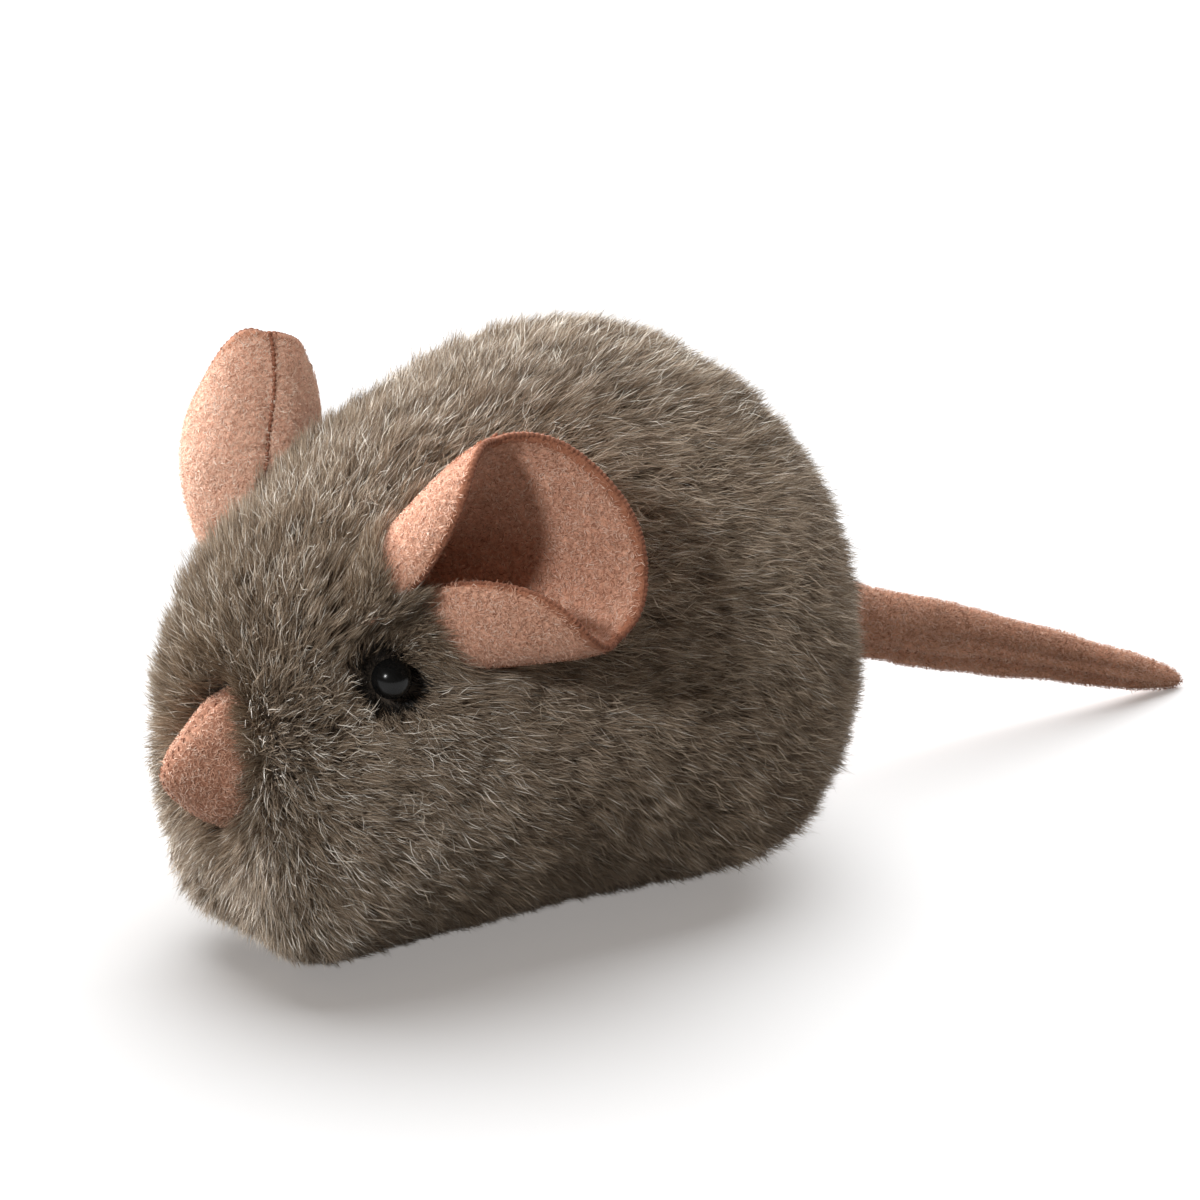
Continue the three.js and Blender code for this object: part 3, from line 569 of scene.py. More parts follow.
# Body form, the same as the solids
bodyForm = {"length": 103, "width": 68, "height": 79, "axis": 33, "widest": 78, "highest": 63, "tuck": 2,
            "hollow": 5, "hollowWidth": 7, "hollowHeight": 11, "groove": 2.4, "grooveWidth": 3, "grooveTop": (12, 26),
            "faceShare": 0.25, "noseRise": 31, "upperRound": 0.95, "lowerRound": (0.6, 1.3, 0.8),
            "tuckStarts": (0, 0.27), "tuckEnds": (0.49, 0.83), "widthCurve": ((1.7, 3.2), (1.95, 2)),
            "riseCurve": ((1.73, 2.05), (1.95, 2)), "dropCurve": ((6, 2), (3, 2))}


def swell(share, peak, front, back):
    before = share < peak
    away = np.where(before, (peak - share) / peak, (share - peak) / (1 - peak))
    run = np.where(before, front[0], back[0])
    rise = np.where(before, front[1], back[1])
    return np.maximum(0, 1 - np.clip(away, 0, 1) ** run) ** (1 / rise)


def sectionAt(share, inset):
    b = bodyForm
    half = (b["width"] / 2 - inset) * swell(share, b["widest"] / b["length"], *b["widthCurve"])
    rise = (b["height"] - b["axis"] - inset) * swell(share, b["highest"] / b["length"], *b["riseCurve"])
    drop = (b["axis"] + b["tuck"]) * swell(share, 0.5, *b["dropCurve"])
    return half, rise, drop


def lowerRoundAt(share):  # the flanks tuck under most in the middle
    b = bodyForm
    face, middle, rump = b["lowerRound"]
    return face + (middle - face) * ramp(*b["tuckStarts"], share) + (rump - middle) * ramp(*b["tuckEnds"], share)


def bodyPoints(share, angle, inset):
    b = bodyForm
    half, rise, drop = sectionAt(share, inset)
    upper = np.sin(angle) > 0
    power = np.where(upper, b["upperRound"], lowerRoundAt(share))
    x = half * signedPower(np.cos(angle), power)
    z = b["axis"] + signedPower(np.sin(angle), power) * np.where(upper, rise, drop)
    across = np.exp(-((x / b["hollowWidth"]) ** 2) / 2)
    up = np.exp(-(((z - b["noseRise"]) / b["hollowHeight"]) ** 2) / 2)
    groove = np.exp(-((x / b["grooveWidth"]) ** 2) / 2) * (1 - ramp(*b["grooveTop"], z))
    back = np.maximum(b["hollow"] * across * up, b["groove"] * groove) * (1 - ramp(0, b["faceShare"], share))
    y = (share - 0.5) * (b["length"] - 2 * inset) + back
    return np.stack([x, y, z], axis=-1)


def flankX(y, z):
    share = np.array(y / bodyForm["length"] + 0.5)
    half, rise, drop = sectionAt(share, 0)
    upper = z > bodyForm["axis"]
    power = bodyForm["upperRound"] if upper else float(lowerRoundAt(share))
    lift = min(1, abs(z - bodyForm["axis"]) / float(rise if upper else drop))
    sine = lift ** (1 / power)
    return float(half) * (1 - sine * sine) ** (power / 2)


# Eye places
eyeSettings = {"y": -35.6, "z": 46.7, "lean": (0.25, 0.9, 0), "radius": 2.75, "backShare": 0.7, "sink": 0.6,
               "shankShare": 0.3, "shank": 4.6, "segments": 64, "rings": 40, "darkRing": 4.3, "near": 20}
eyeY, eyeZ = eyeSettings["y"], eyeSettings["z"]
slopeY = flankX(eyeY + 0.5, eyeZ) - flankX(eyeY - 0.5, eyeZ)
slopeZ = flankX(eyeY, eyeZ + 0.5) - flankX(eyeY, eyeZ - 0.5)
eyeOut = unit(np.array([1, -slopeY, -slopeZ]))
eyeSeat = np.array([flankX(eyeY, eyeZ), eyeY, eyeZ]) + eyeSettings["lean"]  # the bead leans back a little on its shank

# Ear form: a disc rolled into a cup of straight lines from a point inside the head, the same as the solids
earForm = {"point": (2.3, -37.8, 43.1), "turn": 46.1, "droop": 2.5, "roll": -2.6, "discAlong": 27.4,
           "discUp": 16.8, "discRadius": 20.5, "pinch": 15.2, "root": 15.5, "flapTip": 0.14, "flapCurve": 0.8,
           "front": (54.5, 122, 30, 28.5, 2.48), "lower": (9.9, 168, 34, 34, 2.94),
           "layer": 0.8, "rimLayer": 0.45, "frontPuff": 2.3, "lowerPuff": 1.6, "dish": 2.0}
earTurn, earDroop = math.radians(earForm["turn"]), math.radians(earForm["droop"])
earAlong = np.array([math.cos(earDroop) * math.sin(earTurn), math.cos(earDroop) * math.cos(earTurn),
                     -math.sin(earDroop)])
earOut = np.array([0.0, -1, 0])
earOut = unit(earOut - earAlong * earOut.dot(earAlong))
earOut = turnAbout(earOut, earAlong, math.radians(earForm["roll"]))
earUp = np.cross(earOut, earAlong)
earApex = np.array(earForm["point"])
earMiddleDegrees = (earForm["front"][0] + earForm["lower"][0]) / 2
earMiddle = math.radians(earMiddleDegrees)
earMidLine = earAlong * math.cos(earMiddle) + earUp * math.sin(earMiddle)


def earDiscReach(angle):
    away = earForm["discAlong"] * math.cos(angle) + earForm["discUp"] * math.sin(angle)
    off = earForm["discAlong"] ** 2 + earForm["discUp"] ** 2 - earForm["discRadius"] ** 2
    return away + math.sqrt(away * away - off)


def earHalf(edge, sign, steps):
    fold, bend, softness, flap, roundness = edge
    fold, flap, soft = math.radians(fold), math.radians(flap), math.radians(softness) / 2
    flat = abs(fold - earMiddle)
    step = (flat + flap) / steps
    line, inward = earMidLine, earOut
    rows = []
    for index in range(steps + 1):
        beyond = index * step - flat
        share = min(1, max(0, beyond / flap))
        whole = earDiscReach(earMiddle + sign * index * step if beyond < 0 else fold)
        taper = (1 - share ** roundness * (1 - earForm["flapTip"])) ** earForm["flapCurve"]
        reach = earForm["pinch"] + (whole - earForm["pinch"]) * taper
        past = math.degrees(beyond) if sign > 0 else -farAway  # degrees past the front fold
        rows.append((line, inward, reach, share * sign, 1 - min(1, index * step / flat), past))
        bendNow = float(ramp(-soft, soft, beyond + step) - ramp(-soft, soft, beyond))
        line = turnAbout(line, inward, sign * step)
        inward = turnAbout(inward, line, sign * bendNow * math.radians(bend))
    return rows


def earRows(steps):
    return earHalf(earForm["lower"], -1, steps)[::-1] + earHalf(earForm["front"], 1, steps)[1:]


# Cup test: directions from the ear's point, on a plane across its middle, against the outline of the roll
cupSettings = {"rows": 24, "reach": 26, "starts": 8}  # clearances are held at the reach
cupRows = earRows(cupSettings["rows"])
cupAxis = unit(np.mean([r[0] for r in cupRows], axis=0))
cupSide = unit(np.cross(cupAxis, [0, 0, 1.0]))
cupTop = np.cross(cupSide, cupAxis)


def cupPlane(points):
    way = points - earApex
    deep = (way * cupAxis).sum(-1)
    safe = np.maximum(deep, 1e-3)
    return np.stack([(way * cupSide).sum(-1) / safe, (way * cupTop).sum(-1) / safe], -1), deep


def cupOutline(clear):
    return cupPlane(np.array([earApex + r[0] * cupSettings["reach"] - r[1] * clear for r in cupRows]))[0]


def insideOutline(spots, outline):
    inside = np.zeros(len(spots), bool)
    ends = np.roll(outline, -1, axis=0)
    for a, b in zip(outline, ends):
        crosses = (a[1] > spots[:, 1]) != (b[1] > spots[:, 1])
        with np.errstate(divide="ignore", invalid="ignore"):
            at = (b[0] - a[0]) * (spots[:, 1] - a[1]) / (b[1] - a[1]) + a[0]
        inside ^= crosses & (spots[:, 0] < at)
    return inside


def outlineGaps(spots, outline):  # the nearest place on each side of the outline, and how far off it is
    span = np.roll(outline, -1, axis=0) - outline
    rel = spots[:, None] - outline[None]
    part = np.clip((rel * span).sum(-1) / np.maximum((span * span).sum(-1), 1e-12), 0, 1)
    near = outline[None] + part[..., None] * span[None]
    return near, np.linalg.norm(near - spots[:, None], axis=-1)


def inCup(points, clear):  # either ear
    spots, deep = cupPlane(leftward(points)[0])
    return insideOutline(spots, cupOutline(clear)) & (deep > cupSettings["starts"])


def pushedFromCup(points, clear):
    left, mirror = leftward(points)
    spots, deep = cupPlane(left)
    outline = cupOutline(clear)
    bad = np.flatnonzero(insideOutline(spots, outline) & (deep > cupSettings["starts"]))
    if not len(bad):
        return points
    near, gap = outlineGaps(spots[bad], outline)
    gap[:, -1] = farAway  # never out through the mouth of the roll
    best = near[np.arange(len(bad)), gap.argmin(1)]
    moved = earApex + (cupAxis + cupSide * best[:, :1] + cupTop * best[:, 1:]) * deep[bad][:, None]
    points = points.copy()
    points[bad] = moved * mirror[bad]
    return points


def cupDistance(points):  # mm outside the roll of the nearer ear
    spots, deep = cupPlane(leftward(points)[0])
    outline = cupOutline(0)
    gap = outlineGaps(spots, outline)[1].min(1) * deep
    return np.where(deep > cupSettings["starts"], np.where(insideOutline(spots, outline), 0, gap), farAway)


# The ear's hinge, so that fur leaves room for the ear at both ends of its fold
earFold = joints["left_ear_fold"]
hingeAt, hingeAxis = np.array(earFold["pos_m"]) / mm, unit(np.array(earFold["axis"]))
earBend = (24, 40)  # the ear's foot bends between these reaches


def clearOfFold(points, clear):
    left, mirror = leftward(points)
    follow = ramp(*earBend, ((left - earApex) * cupAxis).sum(-1))
    for degrees in earFold["range_deg"][::-1]:
        angle = math.radians(degrees) * follow
        folded = pushedFromCup(hingeAt + turnAbout(left - hingeAt, hingeAxis, -angle), clear)
        left = hingeAt + turnAbout(folded - hingeAt, hingeAxis, angle)
    return left * mirror


# Backing cloth of the fur: one shell for each side and one for the belly, flat sizes in metres
tailRootAt = np.array(joints["tail_swing"]["pos_m"]) / mm
faceEnd, rumpEnd = -35, 35
backingSettings = {"inset": 2.7, "floor": 1.2, "thick": 1.0, "segments": 128, "rings": 96, "cupClear": 1.6,
                   "bellyEnd": 40, "edge": 0.05, "sideFlat": (0.118, 0.095), "bellyFlat": (0.0229, 0.0624),
                   "noseHole": {"height": bodyForm["noseRise"], "wide": 0.75, "tall": 1, "radius": 6.2},
                   "tailHole": {"height": tailRootAt[2], "wide": 2.1, "tall": 1, "radius": 6.2}}


def ovalGap(p, height, wide, tall, radius):  # below zero inside an upright oval
    return np.hypot(p[:, 0] / wide, (p[:, 2] - height) / tall) - radius


def inOpenings(p, s):  # where nose and tail come through
    atNose = (ovalGap(p, **s["noseHole"]) < 0) & (p[:, 1] < faceEnd)
    return atNose | (ovalGap(p, **s["tailHole"]) < 0) & (p[:, 1] > rumpEnd)


def backingPlaces(share, angle):
    places = bodyPoints(share, angle, backingSettings["inset"])
    places[:, 2] = np.maximum(places[:, 2], backingSettings["floor"])
    return places


def backing(name, keep):
    s = backingSettings
    piece = newBall(name, s["segments"], s["rings"])
    ball = ballOnY(piece)
    share = np.clip((1 + ball[:, 1]) / 2, 1e-6, 1 - 1e-6)
    setPlaces(piece, backingPlaces(share, np.arctan2(ball[:, 2], ball[:, 0])))
    editMesh(piece, facesOutward, lambda: bpy.ops.mesh.select_all(action="DESELECT"))
    middles = np.array([f.center for f in piece.data.polygons]) / mm
    piece.data.polygons.foreach_set("select", ~keep(middles))
    pick(piece)
    bpy.ops.object.mode_set(mode="EDIT")
    bpy.ops.mesh.select_mode(type="FACE")
    bpy.ops.mesh.delete(type="FACE")
    bpy.ops.object.mode_set(mode="OBJECT")
    thick = piece.modifiers.new("cloth", "SOLIDIFY")
    thick.thickness = s["thick"] * mm
    thick.offset = -1
    applyAll(piece)
    smoothFaces(piece)
    wear(piece, backingFinish)
    return piece


def bellyKept(p):
    s = backingSettings
    return (p[:, 2] <= s["floor"] + s["edge"]) & (np.abs(p[:, 1]) <= s["bellyEnd"])


def sideKept(sign):
    def keep(p):
        s = backingSettings
        onSide = p[:, 0] * sign > s["edge"]
        return onSide & ~bellyKept(p) & ~inOpenings(p, s) & ~inCup(p, s["cupClear"])
    return keep


for name, node, flat, keep in (("leftSideBacking", "left_side_panel", "sideFlat", sideKept(1)),
                               ("rightSideBacking", "right_side_panel", "sideFlat", sideKept(-1)),
                               ("bellyBacking", "belly_panel", "bellyFlat", bellyKept)):
    piece = backing(name, keep)
    takePlace(piece, "body", node)
print("backing cloth ready")

# Fur: tufts of flat tapering hairs that lie back from the nose
furSettings = {"tufts": 23500, "hairs": 24, "tuftSize": 1.2, "length": 5.0, "width": 0.09, "rise": 24, "lie": 58,
               "gather": 0.5, "curl": 0.55, "spin": 0.55, "stray": 0.16, "hairStray": 0.24, "glints": 0.05,
               "bands": 5, "mapSpread": 0.003, "gridRows": 220, "gridSides": 260, "poleGap": 0.004,
               "nose": (0, -50, 31), "faceToBack": (-44, -12), "droop": 0.45, "footFlow": (0, 15),
               "eyeClear": 2.5, "eyeParting": 1.5, "eyeParts": (4, 9), "eyeShare": 0.45, "eyeGrows": (3, 8),
               "footShare": 0.42, "footGrows": (1, 12), "underEnd": 46, "byNose": 7, "byEar": (1.5, 7.5),
               "earPull": 0.8, "rootClear": 1.3, "hairRootClear": 1.2, "foldClear": 1.4, "cupClear": 1.5,
               "noseHole": {"height": 32, "wide": 0.53, "tall": 1.08, "radius": 9.8},
               "noseEdge": {"height": bodyForm["noseRise"], "wide": 0.675, "tall": 1, "radius": 10},
               "tailHole": {"height": tailRootAt[2], "wide": 1.4, "tall": 1, "radius": 4.6}}
guardSettings = {"groups": 11500, "hairs": 4, "length": 5.4, "width": 0.12, "rise": 18, "lie": 64, "stray": 0.5,
                 "wave": 0.6, "earClear": 4, "eyeClear": 5.6, "tone": 0.95, "flankPaintedShade": 0.2,
                 "taper": (0.7, 1.0, 0.95, 0.7, 0.0)}


def furGrid():
    s = furSettings
    theta = np.linspace(s["poleGap"], math.pi - s["poleGap"], s["gridRows"])
    angle = np.linspace(0, 2 * math.pi, s["gridSides"], endpoint=False)
    grid = skinGrid(backingPlaces, (1 - np.cos(theta)) / 2, angle)
    return grid, outwardNormals(grid, [0, 0, bodyForm["axis"]], True)


def eyeAway(points):  # distance from the nearer eye's axis, and the way off it
    left, mirror = leftward(points)
    rel = left - eyeSeat
    off = rel - eyeOut * (rel * eyeOut).sum(-1, keepdims=True)
    near = np.linalg.norm(rel, axis=1) <= eyeSettings["near"]
    return np.where(near, np.linalg.norm(off, axis=1), farAway), unit(off) * mirror


def furFlow(p, n):
    s = furSettings
    fromNose = unit(p - np.array(s["nose"]))
    back = np.array([0, 1.0, 0]) + np.array([0, 0, -s["droop"]]) * np.abs(n[:, :1])
    onBody = ramp(*s["faceToBack"], p[:, 1])[:, None]
    flow = fromNose * (1 - onBody) + unit(back) * onBody
    distance, away = eyeAway(p)
    flow += away * (s["eyeParting"] * (1 - ramp(*s["eyeParts"], distance)))[:, None]
    flow[:, 2] *= np.where(flow[:, 2] < 0, ramp(*s["footFlow"], p[:, 2]), 1)  # no hair hangs below the belly
    flow = unit(flow - n * (flow * n).sum(-1, keepdims=True))
    swirl = 0.42 * softNoise(p, 13, 3) + 0.30 * softNoise(p, 5, 4)
    return turnAbout(flow, n, swirl)


def furRoots(count):
    s = furSettings
    roots, normals = scatter(*furGrid(), count, True)
    under = (roots[:, 2] < backingSettings["floor"] + 0.02) & (np.abs(roots[:, 1]) < s["underEnd"])
    keep = ~inCup(roots, s["rootClear"]) & ~inOpenings(roots, s) & ~under & (eyeAway(roots)[0] > s["eyeClear"])
    return roots[keep], normals[keep]


def furShare(roots):  # how much of its full length the fur has at each place
    s = furSettings
    byEye = s["eyeShare"] + (1 - s["eyeShare"]) * ramp(*s["eyeGrows"], eyeAway(roots)[0])
    return byEye * (s["footShare"] + (1 - s["footShare"]) * ramp(*s["footGrows"], roots[:, 2]))


def leaning(n, f, angle):  # from upright on the skin towards the flow
    return n * np.cos(angle)[:, None] + f * np.sin(angle)[:, None]


def growGuardHairs():  # longer pale waving hairs over the pile, each bent at three points between root and tip
    s = guardSettings
    root, n = furRoots(s["groups"])
    clear = (cupDistance(root) > s["earClear"]) & (eyeAway(root)[0] > s["eyeClear"])
    root, n = root[clear], n[clear]
    flow = turnAbout(furFlow(root, n), n, s["stray"] * rng.standard_normal(len(root)))
    index = np.repeat(np.arange(len(root)), s["hairs"])
    count = len(index)
    phase = (rng.random(len(root)) * 2 * math.pi)[index]
    wave = (s["wave"] * rng.standard_normal(len(root)))[index]
    root, n = root[index], n[index]
    flow = turnAbout(flow[index], n, 0.25 * rng.standard_normal(count))
    side = np.cross(n, flow)
    root = root + side * (0.35 * rng.standard_normal((count, 1))) + flow * (0.7 * rng.standard_normal((count, 1)))
    length = s["length"] * furShare(root) * (0.7 + 0.5 * rng.random(count))
    start = math.radians(s["rise"]) + 0.2 * rng.standard_normal(count)
    end = math.radians(s["lie"]) + 0.25 * rng.standard_normal(count)
    phase = phase + 0.5 * rng.standard_normal(count)
    spots, at = [root], root
    for step in range(1, 5):
        at = at + leaning(n, flow, start + (end - start) * step / 4) * (length / 4)[:, None]
        spots.append(at + side * (wave * np.sin(phase + 1.3 * step) - wave * np.sin(phase))[:, None] * (step / 4))
    spots = np.stack(spots, 1)
    spots[:, :, 2] = np.maximum(spots[:, :, 2], 0.3)  # off the floor
    heading = unit(np.gradient(spots, axis=1))
    flat = turnAbout(unit(np.cross(heading, n[:, None])), heading, 0.7 * rng.standard_normal((count, 1)))
    wide = (flat * (s["width"] / 2 * np.array(s["taper"])[None, :, None]))[:, :4]
    points = np.concatenate([spots[:, :4] - wide, spots[:, :4] + wide, spots[:, 4:]], 1)
    # The guard hairs are painted darker on the flank: painted shade where the lamps reach less
    flankShadeShare = ramp(0.5, 0.85, np.abs(n[:, 0])) * ramp(-28, -8, root[:, 1])
    tone = s["tone"] - s["flankPaintedShade"] * flankShadeShare + 0.07 * rng.standard_normal(count)
    return points, np.clip(tone, 0.5, 0.996), root


def bentHair(root, n, f, length, start, end):
    half = (0.5 * length)[:, None]
    knee = root + leaning(n, f, start) * half
    return knee, knee + unit(leaning(n, f, end) + 0.3 * leaning(n, f, (start + end) / 2)) * half


def growFur():
    s = furSettings
    roots, normals = furRoots(s["tufts"])
    tufts, hairs = len(roots), s["hairs"]

    # One leading hair for each tuft, along the ear where it stands by one
    flow = furFlow(roots, normals)
    side = np.cross(normals, flow)
    byNose = 1 - ramp(0, s["byNose"], np.where(roots[:, 1] < faceEnd - 1, ovalGap(roots, **s["noseEdge"]), farAway))
    byEar = 1 - ramp(*s["byEar"], cupDistance(roots))
    uneven = 1 + 0.24 * softNoise(roots, 4, 5) + 0.15 * rng.standard_normal(tufts)
    tuftLength = s["length"] * furShare(roots) * (1 + 0.25 * byEar) * uneven
    rise = math.radians(s["rise"]) * (1 - 0.5 * byNose) + s["stray"] * rng.standard_normal(tufts)
    lie = math.radians(s["lie"]) * (1 - 0.5 * byNose) + s["stray"] * rng.standard_normal(tufts)
    lie = lie + 0.16 * softNoise(roots, 3, 8)
    left, mirror = leftward(roots)
    alongEar = unit(unit(left - earApex) * mirror + 0.3 * flow + 0.35 * normals)
    knee, tip = bentHair(roots, normals, flow, tuftLength, rise, lie)
    knee += byEar[:, None] * s["earPull"] * (roots + alongEar * 0.5 * tuftLength[:, None] - knee)
    tip += byEar[:, None] * s["earPull"] * (roots + alongEar * tuftLength[:, None] - tip)

    # The hairs round it, drawn towards its tip
    index = np.repeat(np.arange(tufts), hairs)
    count = len(index)
    angle = rng.random(count) * 2 * math.pi
    off = s["tuftSize"] * np.sqrt(rng.random(count))
    root = roots[index] + flow[index] * (off * np.cos(angle))[:, None] + side[index] * (off * np.sin(angle))[:, None]
    n = normals[index]
    f = turnAbout(flow[index], n, s["spin"] * rng.standard_normal(count))
    length = tuftLength[index] * (0.62 + 0.55 * rng.random(count))
    hairKnee, hairTip = bentHair(root, n, f, length, rise[index] + s["hairStray"] * rng.standard_normal(count),
                                 lie[index] + s["hairStray"] * rng.standard_normal(count))
    curl = s["curl"] * rng.standard_normal((2, count, 1))
    hairKnee += side[index] * curl[0] + n * 0.4 * curl[1]
    shift = byEar[index][:, None] * s["earPull"]
    hairKnee += shift * (root + knee[index] - roots[index] - hairKnee)
    hairTip += shift * (root + tip[index] - roots[index] - hairTip)
    gather = s["gather"] * (0.5 + rng.random(tufts))[index][:, None]
    hairKnee += 0.35 * gather * (knee[index] - hairKnee)
    hairTip += gather * (tip[index] - hairTip)

    # Clear of the ears, the floor and the beads
    for points in (hairKnee, hairTip):
        points[:] = pushedFromCup(clearOfFold(points, s["foldClear"]), s["cupClear"])
        points[:, 2] = np.maximum(points[:, 2], 0.12 + 0.5 * rng.random(count))
    ring, _ = eyeAway(root)
    bead, away = eyeAway(hairTip)
    hairTip += away * np.maximum(0, 3.1 - bead)[:, None]

    # Kites, and their tones
    heading = unit(hairTip - root)
    flat = turnAbout(unit(np.cross(heading, n)), heading, 0.75 * rng.standard_normal(count))
    width = s["width"] * (0.6 + 0.8 * rng.random(count))[:, None] / 2
    corners = np.stack([root, hairKnee - flat * width, hairKnee + flat * width, hairTip], axis=1)
    patch = 0.10 * softNoise(roots, 9, 6) + 0.10 * softNoise(roots, 2.5, 7)
    tone = np.clip(0.46 + patch[index] + 0.19 * rng.standard_normal(count), 0.11, 0.89)
    glint = rng.random(count) < s["glints"]
    tone = np.where(glint, 0.955 + 0.04 * rng.random(count), tone)
    dark = ring < eyeSettings["darkRing"] - 0.9 + 1.1 * rng.random(count)
    tone = np.where(dark, 0.01 + 0.05 * rng.random(count), tone)
    keep = ~inCup(root, s["hairRootClear"]) & (ring > 2.2)
    return corners[keep], tone[keep], root[keep]


def furPiece(name, side, form, corners, tones):
    piece = strands(name, form, corners, tones, furSettings["mapSpread"], furFinish)
    takePlace(piece, "body", side + "_side_panel")


corners, tones, hairRoots = growFur()
for side, sign in sides:
    mine = np.flatnonzero(hairRoots[:, 0] * sign > 0)
    order = mine[np.argsort(hairRoots[mine, 1], kind="stable")]
    for band, chosen in enumerate(np.array_split(order, furSettings["bands"])):
        furPiece(f"fur{side.capitalize()}{band + 1}", side, kiteForm, corners[chosen], tones[chosen])
guardPoints, guardTones, guardRoots = growGuardHairs()
for side, sign in sides:
    chosen = guardRoots[:, 0] * sign > 0
    furPiece(f"guardHairs{side.capitalize()}", side, stripForm, guardPoints[chosen], guardTones[chosen])
print("fur ready:", len(corners), "hairs and", len(guardPoints), "longer ones")

# Ears: each rolled by hand, so the right one's rim is rounder at the fold
earMesh = {"lines": 64, "rows": 34, "rowCurve": 0.85, "puffFrom": 17, "rimWobble": 0.006, "wobble": 0.3,
           "gap": 0.06, "thinFrom": 0.82, "napFrom": 19}
earSides = {"left": {"sign": 1, "corner": 0.0, "crest": 0.0}, "right": {"sign": -1, "corner": -2.7, "crest": 1.85}}
earRim = {"corner": (-14, 9), "crest": (2, 5), "dip": (13, 6), "dipShare": 1.1}  # degrees past the fold, and widths
stitchSettings = {"rimPitch": 0.7, "rimThread": 0.46, "lump": 0.07, "dartPitch": 0.75, "dartThread": 0.30,
                  "dartLump": 0.08, "dartColumn": 90, "dartBow": 19, "dartTurn": 0.75, "dartFrom": 24,
                  "anchors": 7, "anchorReach": 28.5, "anchorDeep": 1.6, "anchorHalf": 0.9, "anchorArch": 0.3,
                  "anchorThread": 0.28}


def earSurface(own):
    s = earMesh
    rows = earRows(s["lines"])
    line, inward, reach, flap, flat, past = (np.array([r[k] for r in rows]) for k in range(6))
    corner, crest, dip = (bell(past - middle, width) for middle, width in
                          (earRim["corner"], earRim["crest"], earRim["dip"]))
    reach = reach + own["corner"] * corner + own["crest"] * (crest - earRim["dipShare"] * dip)
    reach = reach * (1 + s["rimWobble"] * softNoise(line * 40 + own["sign"], 5, 21))
    share = np.linspace(0, 1, s["rows"]) ** s["rowCurve"]
    far = earForm["root"] + (reach - earForm["root"])[:, None] * share[None]
    swellShare = (far - s["puffFrom"]) / np.maximum(reach[:, None] - s["puffFrom"], 1)
    swellRow = np.sin(np.pi * np.clip(swellShare, 0, 1))
    puff = np.where(flap[:, None] > 0, earForm["frontPuff"], earForm["lowerPuff"])
    puff = puff * np.sin(np.pi * np.abs(flap))[:, None] * swellRow
    puff = puff + earForm["dish"] * np.sin(np.pi * flat / 2)[:, None] * swellRow
    places = earApex + line[:, None] * far[..., None] - inward[:, None] * puff[..., None]
    wobble = s["wobble"] * softNoise(places.reshape(-1, 3) + 50 * own["sign"], 9, 22).reshape(places.shape[:2])
    places = places - inward[:, None] * (wobble * share[None])[..., None]
    normal = gridNormals(places)
    if (normal[len(rows) // 2, -1] * inward[len(rows) // 2]).sum() > 0:
        normal = -normal
    return places, normal, share  # normal points out of the back of the ear


def layerThickness(share):
    return earForm["layer"] + (earForm["rimLayer"] - earForm["layer"]) * ramp(earMesh["thinFrom"], 1.0, share)


def earLayer(name, surface, side, sign):  # side 1 is the back, -1 the lining
    s = earMesh
    places, normal, share = surface
    deselect()
    bpy.ops.mesh.primitive_grid_add(x_subdivisions=2 * s["lines"], y_subdivisions=s["rows"] - 1, size=2)
    piece = bpy.context.object
    piece.name = name
    flat = (placesOf(piece) + 1) / 2
    i = np.rint(flat[:, 0] * (2 * s["lines"])).astype(int)
    j = np.rint(flat[:, 1] * (s["rows"] - 1)).astype(int)
    thin = layerThickness(share[j])
    spots = places[i, j] + normal[i, j] * (side * (s["gap"] + thin / 2))[:, None]
    setPlaces(piece, spots * [sign, 1, 1])
    group = piece.vertex_groups.new(name="thickness")
    for weight in np.unique(np.round(thin, 3)):
        group.add(np.flatnonzero(np.round(thin, 3) == weight).tolist(), float(weight / earForm["layer"]), "REPLACE")
    thick = piece.modifiers.new("suede", "SOLIDIFY")
    thick.thickness = earForm["layer"] * mm
    thick.offset = 0
    thick.vertex_group = "thickness"
    applyAll(piece)
    editMesh(piece, facesOutward)
    smoothFaces(piece)
    return piece


def sewnCord(line, normal, pitch, thread, lump):  # a fine row of tight stitches, lumpy like a cord
    length = lengthAlong(line)
    stops = np.arange(0, length[-1], 0.13)
    middle, up = placesAt(stops, length, line), unit(placesAt(stops, length, normal))
    uneven = softNoise(np.stack([stops, 0 * stops, 0 * stops], -1), 1.1, 23)
    beads = np.sin(2 * math.pi * stops / pitch + 1.6 * uneven)
    middle = middle + up * (0.10 * softNoise(middle, 0.8, 24))[:, None]
    return tubes(middle[None], (thread + lump * beads + 0.5 * lump * uneven)[None], 8, up[None])


def rimStitches(surface):
    s = stitchSettings
    places, normal, _ = surface
    inward = unit(places[:, -3] - places[:, -1])
    return sewnCord(places[:, -1] + inward * 0.1, normal[:, -1], s["rimPitch"], s["rimThread"], s["lump"])


def dartStitches(surface):
    s = stitchSettings
    places, normal, _ = surface
    rows = np.arange(earMesh["rows"])
    column = s["dartColumn"] + s["dartBow"] * (rows / rows[-1] - s["dartTurn"]) ** 2  # bows towards the fold
    low, part = column.astype(int), (column % 1)[:, None]
    line = places[low, rows] * (1 - part) + places[low + 1, rows] * part
    shown = np.linalg.norm(line - earApex, axis=-1) > s["dartFrom"]
    line, up = line[shown], normal[low, rows][shown]
    return sewnCord(line + up * (earForm["layer"] + 0.08), up, s["dartPitch"], s["dartThread"], s["dartLump"])


